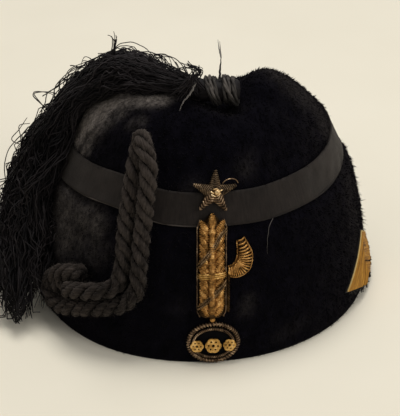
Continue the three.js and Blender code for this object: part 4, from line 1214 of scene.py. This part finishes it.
# azimuth, z, lift
RIBBON_THREAD = np.array([(-62, 66, 2.2), (-64.5, 63, 3.2), (-66.5, 57, 2.8), (-67, 52, 2.6)])
# name, points, radius, material, seed, how crinkled
LOOSE_THREADS = [
    ("thread_upright", [(9.3, -38, 124.5), (9.4, -36, 128.5), (9.8, -34, 132), (9.9, -33, 134)],
     0.6, TASSEL, 81, 0.05),
    ("thread_wisp_84", [(9.9, -33, 133.5), (9.0, -29, 136.3), (8.4, -24, 139.2)], 0.34, PALE, 84, 0.05),
    ("thread_wisp_85", [(9.9, -33, 133.5), (9.6, -29, 136.2), (9.3, -25, 138.6)], 0.34, PALE, 85, 0.05),
    ("thread_pale", [(-2.4, -44, 125.6), (-4.9, -47, 121.2), (-8.8, -49, 116.6), (-10.4, -50.5, 112.4)],
     0.55, PALE, 82, 0.1),
    ("thread_on_ribbon", wall_point(*RIBBON_THREAD.T), 0.16, BINDING, 83, 0.1),
]


def loose_threads():
    """Single crinkled threads, thinner towards their tips."""
    for name, points, radius, material, seed, crinkled in LOOSE_THREADS:
        path = catmull(points, 24)
        path = resample(path, walked(path)[-1] / THREAD_STEPS)
        r = np.random.default_rng(seed)
        s = np.linspace(0, 1, len(path))[:, None]
        for _ in range(3):
            path = path + crinkled * ripple(r, s, 8, 40) * unit(r.normal(size=3)) * smoothstep(s * 6)
        widths = radius * (1 - 0.65 * smoothstep((s[:, 0] - 0.2) / 0.8))
        part = sweep(path[None], widths[None], 5, up=ROPE_UP)
        piece(name, part, material, "black_thread", shade=np.full(len(part[0]), 0.7))


# ---------------------------------------------------------------- badge
# The star's low arms have fewer, thicker ribs, which bend back more.
STAR_LOW_ARMS = (2, 3)
# radius, lift
SPANGLE_RINGS = [(0.15, 3.9), (0.6, 3.8), (1.1, 3.5), (1.4, 2.9), (1.2, 2.4)]
# x and z of both ends, from the star's middle
STAR_BITS = [
    (-1.6, -0.6, 0.2, -1.6), (-1.8, 0.6, -0.4, -0.2), (1.2, -1.4, 2.6, -0.2), (-0.6, 1.6, 1.2, 1.8),
    (2.0, 0.6, 3.4, 1.2),
]
EAR_X, EAR_LOW, EAR_HIGH, EAR_HALF, EAR_HEIGHT = 5.2, 25.0, 73.2, 6.5, 4.0
EAR_RIDGE = 0.3
GRAIN_ROWS, GRAIN_STEPS, GRAIN_TURNS, GRAIN_SQUASH = 12, 72, 8, 0.85
# Slanting lashings over the ear, as x and z of both ends from its middle line and foot
LASHINGS = [(-6.9, 24.3, 6.8, 40.5), (-6.8, 4.4, 6.8, 17.3)]
BAND_Z = 45.4
LEAF_ROUTE = [(12.9, 46.6), (16.6, 46.6), (19.9, 48.6), (20.9, 53.5), (18.9, 60.5)]
LEAF_HALF = [1.6, 3, 3.8, 3.2, 1.4]
LEAF_HEIGHT = 2.4
STEM_X, STEM_LOW, STEM_HIGH = 13.1, 27.0, 43.0
# The medallion's pad, from under its middle round the edge to its top: share of its size, lift
PAD_RINGS = [
    (0.02, 0.4), (0.6, 0.4), (1.0, 0.4), (1.02, 0.9), (0.98, 1.3), (0.9, 1.45), (0.6, 1.5), (0.3, 1.5),
    (0.02, 1.5),
]


def gilt_piece(name, part, material, *replaced):
    """A piece of the badge's bullion."""
    piece(name, part, material, "gilt_bullion", *replaced)


def badge_wire(paths, radius, sides=6):
    """Wires that lie along the front of the crown."""
    return sweep(np.array(paths), radius, sides, up=BADGE_UP)


def star_arm(arm, seat, base):
    """The ribs of bullion across one arm, as paths."""
    notch = STAR_r * math.cos(math.pi / 5), STAR_r * math.sin(math.pi / 5)
    low = arm in STAR_LOW_ARMS
    turn = math.radians(90 + STAR_TILT + 72 * arm)
    along, across = np.array([math.cos(turn), math.sin(turn)]), np.array([-math.sin(turn), math.cos(turn)])
    s = np.linspace(-1.15, 1.15, 11)
    within = np.clip(s, -1, 1)
    tip = STAR_R + 0.6
    ribs = []
    for d in np.linspace(1.8, 10.0, 7 if low else 11):
        half = min(d * math.tan(math.pi / 5), notch[1] * (tip - d) / (tip - notch[0]))
        reach = within * (half + 0.25)
        back = d - (0.7 if low else 0.35) * np.abs(reach)
        flat = along[None] * back[:, None] + across[None] * reach[:, None]
        ridge = (1 - np.abs(within)) * (1 - 0.5 * d / STAR_R)
        lift = base + 1.75 + ridge - 1.3 * smoothstep((np.abs(s) - 0.85) / 0.3)
        ribs.append(seat(flat[:, 0], flat[:, 1], lift))
    return ribs


def star_piece():
    """Bullion laid across each arm of the star, over the padding, and a bright spangle in the middle."""
    seat, base = front_seat(STAR_X, STAR_Z), float(badge_lift(STAR_Z))
    fine = [rib for arm in range(5) if arm not in STAR_LOW_ARMS for rib in star_arm(arm, seat, base)]
    coarse = [rib for arm in STAR_LOW_ARMS for rib in star_arm(arm, seat, base)]
    gilt_piece("star_bullion", badge_wire(fine, 0.36), GILT_DULL)
    gilt_piece("star_ribs", badge_wire(coarse, 0.46), GILT_OLD)
    sides = 18
    turn = circle(sides)
    rings = [seat(1.2 + r * np.cos(turn), 0.3 + r * np.sin(turn), np.full(sides, base + lift))
             for r, lift in SPANGLE_RINGS]
    quads = grid_quads(len(rings), sides, wrap=True)[:, ::-1]
    parts = [(np.concatenate(rings), quads, [], np.zeros((len(rings) * sides, 2)))]
    arc = math.pi * np.linspace(0.02, 0.9, 30)
    loose = seat(7.0 + 3.5 * np.cos(arc), 3.2 + 2.6 * np.sin(arc), base + 2.2 + 0.8 * np.sin(arc))
    gilt_piece("star_loose_wire", badge_wire([loose], 0.26, 5), GILT_OLD)
    share = np.linspace(0, 1, 12)
    for x0, z0, x1, z1 in STAR_BITS:
        bit = seat(x0 + (x1 - x0) * share, z0 + (z1 - z0) * share, base + 3.1 + 0.4 * np.sin(np.pi * share))
        parts.append(badge_wire([bit], 0.36))
    gilt_piece("star_spangle", joined(parts), GILT_BRIGHT)


def relief_lift(x, z):
    """The padding's top under the ear's grains."""
    share = np.clip(np.abs(np.asarray(x) - EAR_X) / EAR_HALF, 0, 1)
    return badge_lift(z) + EAR_RIDGE + (EAR_HEIGHT - EAR_RIDGE) * np.sqrt(1 - share * share)


def ear_grains():
    """Two outer rows, one between them, and a tip, each as x and z of both ends, radius and how proud."""
    grains = []
    for row, z in enumerate(np.linspace(EAR_LOW + 1.0, EAR_HIGH - 9.5, GRAIN_ROWS)):
        for side in (-1, 1):
            grains.append((EAR_X + side * 1.5, z, EAR_X + side * 5.4, z + 6.2, 1.75, 0.0))
        if row < GRAIN_ROWS - 1:
            grains.append((EAR_X, z + 1.2, EAR_X, z + 6.4, 1.7, 1.1))
    return grains + [(EAR_X, EAR_HIGH - 7.5, EAR_X, EAR_HIGH + 0.3, 1.8, 0.2)]


def ear_piece():
    """An ear of wheat: padded grains wound with wire, lashed and banded, with a twisted outline."""
    spindles, wires = [], []
    s = np.linspace(0, 1, GRAIN_STEPS)
    wind = 2 * np.pi * GRAIN_TURNS * s
    # A grain's body takes every eighth point of its wire's path.
    some, sides = slice(None, None, 8), 10
    for x0, z0, x1, z1, radius, proud in ear_grains():
        x, z = x0 + (x1 - x0) * s, z0 + (z1 - z0) * s
        belly = radius * np.sin(np.pi * np.clip(s * 0.92 + 0.05, 0, 1)) ** 0.6
        axis = front_point(x, z, relief_lift(x, z) * 0.86 + proud)
        tangent = unit(np.gradient(axis, axis=0))
        side = unit(np.cross(tangent, unit(front_normal(x, z))))
        over = np.cross(side, tangent)
        wires.append(axis + (belly + 0.05)[:, None] * circled(wind, side, over, GRAIN_SQUASH))
        ring = circled(circle(sides), side[some, None], over[some, None], GRAIN_SQUASH)
        body = axis[some, None] + 0.9 * belly[some, None, None] * ring
        faces = tube_faces(len(body), sides, flip=True)
        spindles.append((body.reshape(-1, 3), *faces, np.zeros((len(body) * sides, 2))))
    gilt_piece("ear_grains", joined(spindles), GILT)
    gilt_piece("ear_wires", sweep(np.array(wires), 0.26, 5, up=(0.3, -1, 0.2)), GILT)
    tied, shaded, banded, edges = [], [], [], []
    share = np.linspace(0, 1, 60)
    for x0, z0, x1, z1 in LASHINGS:
        x = EAR_X + x0 + (x1 - x0) * share
        for aside in (-0.75, 0.75):
            z = EAR_LOW + z0 + aside + (z1 - z0) * share
            tied.append(twisted(front_point(x, z, relief_lift(x, z) + 1.5), 0.3, 0.34, 2.2))
        # A dark line of painted shadow lies under the upper cord of the pair, which the loop ends on.
        shaded.append(badge_wire([front_point(x, z - 0.7, relief_lift(x, z) + 0.9)], 0.42))
    for rise in (-0.9, 0.0, 0.9):
        x = EAR_X + np.linspace(-6.9, 6.9, 50)
        z = BAND_Z + rise + 0.05 * (x - EAR_X)
        banded.append(sweep(front_point(x, z, relief_lift(x, z) + 1.2)[None], 0.48, 6))
    for side in (-1, 1):
        z = np.linspace(EAR_LOW - 0.5, EAR_HIGH - 3, 70)
        narrowed = 1.4 * smoothstep((z - EAR_HIGH + 8) / 6)
        x = EAR_X + side * (EAR_HALF + 0.35 - narrowed - 1.2 * smoothstep((EAR_LOW + 2.5 - z) / 3))
        edges.append(twisted(front_point(x, z, badge_lift(z) + 0.75), 0.2, 0.27, 1.8))
    gilt_piece("ear_band", joined(banded), BRASS)
    gilt_piece("ear_lashing", joined(tied), GILT_WORN)
    gilt_piece("ear_painted_shadow", joined(shaded), GILT_SHADE)
    gilt_piece("ear_outline", joined(edges), GILT_OLD)


def leaf_piece():
    """Bullion laid across the curled leaf, over its padding, with a twisted outline."""
    route = catmull([(x, 0, z) for x, z in LEAF_ROUTE], 12, power=0.0)
    along = unit(np.gradient(route, axis=0))
    share = np.linspace(0, 1, len(route))
    half = np.interp(share, np.linspace(0, 1, 5), LEAF_HALF)
    paths = []
    s = np.linspace(-1.0, 1.0, 11)
    dome, swept = np.sqrt(np.clip(1 - s * s, 0, 1)), 0.35 * np.abs(s)
    for at in np.linspace(0.01, 0.985, 20):
        x, z = np.interp(at, share, route[:, 0]), np.interp(at, share, route[:, 2])
        ax, az = np.interp(at, share, along[:, 2]), -np.interp(at, share, along[:, 0])
        width = np.interp(at, share, half) + 0.25
        height = LEAF_HEIGHT * min(1, 0.3 + width / 3)
        px, pz = x + ax * width * s - az * swept, z + az * width * s + ax * swept
        paths.append(front_point(px, pz, badge_lift(pz) + 0.45 + height * dome))
    parts = [badge_wire(paths, 0.4)]
    for edge in (-1, 1):
        x = route[:, 0] + edge * along[:, 2] * (half + 0.45)
        z = route[:, 2] - edge * along[:, 0] * (half + 0.45)
        parts.append(twisted(front_point(x, z, badge_lift(z) + 0.6), 0.18, 0.26, 1.8))
    gilt_piece("leaf_bullion", joined(parts), GILT)


def stem_piece():
    """The twisted stem beside the ear."""
    z = np.linspace(STEM_LOW, STEM_HIGH + 3, 60)
    stem = front_point(np.full(len(z), STEM_X), z, SEAT_GAP + 0.9)
    gilt_piece("stem_twist", twisted(stem, 0.45, 0.5, 2.6), GILT_DARK, "badge_stem")


def coil(path, reach, turns, wire, steps=9, sides=5):
    """A wire wound round a closed path."""
    places = np.arange(len(path))
    path = picked(path, places, np.linspace(0, places[-1], turns * steps))
    phase = 2 * np.pi * turns * np.linspace(0, 1, len(path))
    wound = path + reach * circled(phase, *side_frames(path))
    return sweep(wound[None], wire, sides, up=ROPE_UP)


def medallion_piece():
    """The velvet pad, and the coiled wires round it."""
    seat = front_seat(MEDALLION_X, MEDALLION_Z)
    turn = np.linspace(0, 2 * np.pi, 97)

    def oval(width, height, turns, lift):
        return seat(width * np.cos(turns), height * np.sin(turns), np.full(len(turns), lift))

    def wire_path(grow, lift):
        return oval(MEDALLION_W - 0.9 + grow, MEDALLION_H + grow, turn, lift)

    outer = wire_path(1.45, SEAT_GAP + 1.1)
    thick = badge_wire([outer[::-1]], 0.62, 8)
    gilt_piece("medallion_coil", joined([coil(outer, 0.85, 50, 0.44), thick]), GILT_OLD, "medallion_rim")
    inner = wire_path(-0.9, SEAT_GAP + 1.75)
    gilt_piece("medallion_fine_coil", coil(inner, 0.55, 70, 0.27, 8, 4), GILT_OLD)
    rings = [oval(MEDALLION_W * s, MEDALLION_H * s, turn[:-1], lift) for s, lift in PAD_RINGS]
    part = np.concatenate(rings), *tube_faces(len(rings), len(turn) - 1)
    piece("medallion_pad", part, VELVET, "velvet", "medallion_velvet")


# ---------------------------------------------------------------- chevron
LACE_DEPTH, STRIPE_GAP, STRIPE_DEPTH = 16.8, 1.3, 6.5
CHEVRON_DEPTH = LACE_DEPTH + STRIPE_GAP + STRIPE_DEPTH
BACKING_MARGIN, BACKING_THICKNESS, LACE_THICKNESS = 0.7, 0.5, 0.7
LACE_RIDGE, LACE_PITCH = 0.13, 1.5


def chevron_flare(azimuth, z):
    """How far the loose lower part of the chevron stands off the felt."""
    return 1.8 * smoothstep((15 - z) / 10) * smoothstep((azimuth + 33) / 16)


def chevron_strip(top_depth, bottom_depth, margin, inner_lift, thickness, rows, ridge=0.0):
    """A strip along the chevron, from one depth to another under its upper edge, grown by margin."""
    end = (CHEVRON_PEAK_Z - top_depth - CHEVRON_FOOT_Z + CHEVRON_RISE * CHEVRON_FOOT_TURN + 2 * margin)
    end = end / (CHEVRON_FALL + CHEVRON_RISE) - 0.3
    azimuth = CHEVRON_PEAK_TURN + np.linspace(-end, end, 81)
    turn = np.abs(azimuth - CHEVRON_PEAK_TURN)
    top = chevron_top(turn) - top_depth + margin
    bottom = np.maximum(top - (bottom_depth - top_depth) - 2 * margin, chevron_cut(turn) - margin)
    azimuth, top, bottom = azimuth[:, None], top[:, None], bottom[:, None]
    share = np.linspace(0, 1, rows)
    z = bottom + (top - bottom) * share
    depth = top - z
    ribs = ridge * np.cos(depth * 2 * np.pi / LACE_PITCH)
    edge = 0.3 * smoothstep((np.abs(2 * share - 1) - 0.93) / 0.07)
    flare = chevron_flare(azimuth, z)
    outer = wall_point(azimuth, z, inner_lift + thickness + ribs - edge + flare)
    inner = wall_point(azimuth, z, inner_lift + flare)
    return band(outer, inner, np.concatenate([depth, depth[:, ::-1]], 1), -1)


def chevron_fray():
    """Frayed ends of the backing, which hang out under the chevron's cut feet and stand off its far edge."""
    r = np.random.default_rng(91)
    count, steps = 150, 8
    azimuth = CHEVRON_PEAK_TURN + r.uniform(-19, 19, count)
    turn = np.abs(azimuth - CHEVRON_PEAK_TURN)
    z = (np.maximum(chevron_top(turn) - CHEVRON_DEPTH, chevron_cut(turn)) + 0.3)[:, None]
    drop = r.uniform(0.5, 2.4, (count, 1))
    flare = chevron_flare(azimuth[:, None], z)
    s = np.linspace(0, 1, steps)
    turned = azimuth[:, None] + r.normal(0, 1.2, (count, 1)) * s
    lift = SEAT_GAP + 0.7 + flare + r.uniform(-0.3, 1.4, (count, 1)) * s
    path = wall_point(turned, z - drop * s, lift)
    path[..., 2] = np.maximum(path[..., 2], 0.6)
    return sweep(path, r.uniform(0.18, 0.34, (count, 1)), 4, up=STRAND_UP)[:3]


def chevron_pieces():
    """The felt backing with its fray, and two strips of lace on it."""
    backing = chevron_strip(0, CHEVRON_DEPTH, BACKING_MARGIN, SEAT_GAP, BACKING_THICKNESS + 0.2, 8)
    piece("chevron_felt", backing, BACKING, "backing_felt", "chevron_backing")
    piece("chevron_fray", chevron_fray(), BACKING, "backing_felt")
    for name, node, top, low, rows in (
        ("chevron_gold", "chevron_lace", 0, LACE_DEPTH + 0.7, 61),
        ("chevron_gold_stripe", "chevron_stripe", LACE_DEPTH + STRIPE_GAP, CHEVRON_DEPTH, 27),
    ):
        lift = 2 * SEAT_GAP + BACKING_THICKNESS
        part = chevron_strip(top, low, 0, lift, LACE_THICKNESS, rows, LACE_RIDGE)
        depth = part[3][:, 1]
        piece(name, part, LACE, "gold_lace", node, edge=low - depth if top else depth)


for build in (
    crown_piece, nap_piece, ribbon_piece, selvedge_piece, cord_piece,
    strand_layers, flyaways, tufts, tassel_core, binding_piece, loose_threads,
    star_piece, ear_piece, leaf_piece, stem_piece, medallion_piece, chevron_pieces,
):
    build()
# The CAD padding under the bullion is dark gilt, so that where it shows between the ribs it gives painted
# shade.
for node, material in (
    ("badge_star", GILT_DARK), ("badge_ear", GILT_DARK), ("badge_leaf", GILT_DARK), ("badge_foot", GILT),
    ("rosette_left", BRASS), ("rosette_middle", BRASS), ("rosette_right", BRASS),
):
    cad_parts[node].data.materials.clear()
    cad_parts[node].data.materials.append(material)


# ---------------------------------------------------------------- camera, light and floor
CAMERA_ELEVATION = 28.725
CAMERA_DISTANCE = 1023.0
CAMERA_TARGET = np.array([-0.34, 0.0, 32.1])
CAMERA_LENS, CAMERA_SENSOR = 168.2, 36
FLOOR_HALF, FLOOR_Z = 6000.0, -0.2
LIGHT_AIM, LIGHT_COLOUR = Vector((0, 0, 0.05)), (1.0, 0.98, 0.94)
# name, place in metres, width, power
LIGHTS = [
    ("overhead", (0.05, 0.3, 1.5), 0.85, 12.9),
    ("front_fill", (1.2, -0.9, 1.0), 1.0, 8.0),
    ("glint", (0.15, -0.55, 0.95), 0.06, 0.3),
]
WORLD_COLOUR, WORLD_STRENGTH = (1.0, 0.985, 0.96, 1), 0.39


def added(name, data):
    obj = bpy.data.objects.new(name, data)
    bpy.context.scene.collection.objects.link(obj)
    return obj


def stage():
    """The camera, the floor, the sky's light and three lamps."""
    scene = bpy.context.scene
    e = math.radians(CAMERA_ELEVATION)
    data = bpy.data.cameras.new("camera")
    data.lens = CAMERA_LENS
    data.sensor_width = CAMERA_SENSOR
    scene.camera = added("camera", data)
    back = CAMERA_DISTANCE * MM * np.array([0, -math.cos(e), math.sin(e)])
    scene.camera.location = (CAMERA_TARGET + SHIFT) * MM + back
    scene.camera.rotation_euler = (math.pi / 2 - e, 0, 0)

    corners = [(x * FLOOR_HALF, y * FLOOR_HALF, FLOOR_Z) for x, y in ((-1, -1), (1, -1), (1, 1), (-1, 1))]
    floor = make_mesh("floor", np.array(corners), [[0, 1, 2, 3]], smooth=False)
    n = Shader("cream_floor", roughness=0.85, specular=0.1)
    cream = n.ramp(n.noise(n.where, 6, 3), (0.35, (0.80, 0.752, 0.632)), (0.65, (0.826, 0.778, 0.660)))
    floor.data.materials.append(n.finish(cream))

    scene.world = bpy.data.worlds.new("studio")
    scene.world.use_nodes = True
    background = scene.world.node_tree.nodes["Background"].inputs
    background["Color"].default_value = WORLD_COLOUR
    background["Strength"].default_value = WORLD_STRENGTH
    for name, place, width, power in LIGHTS:
        light = bpy.data.lights.new(name, "AREA")
        light.shape = "DISK"
        light.size, light.energy, light.color = width, power, LIGHT_COLOUR
        lamp = added(name, light)
        lamp.location = place
        lamp.rotation_euler = (LIGHT_AIM - Vector(place)).to_track_quat("-Z", "Y").to_euler()
    scene.view_settings.view_transform = "Standard"
    scene.view_settings.look = "None"


stage()
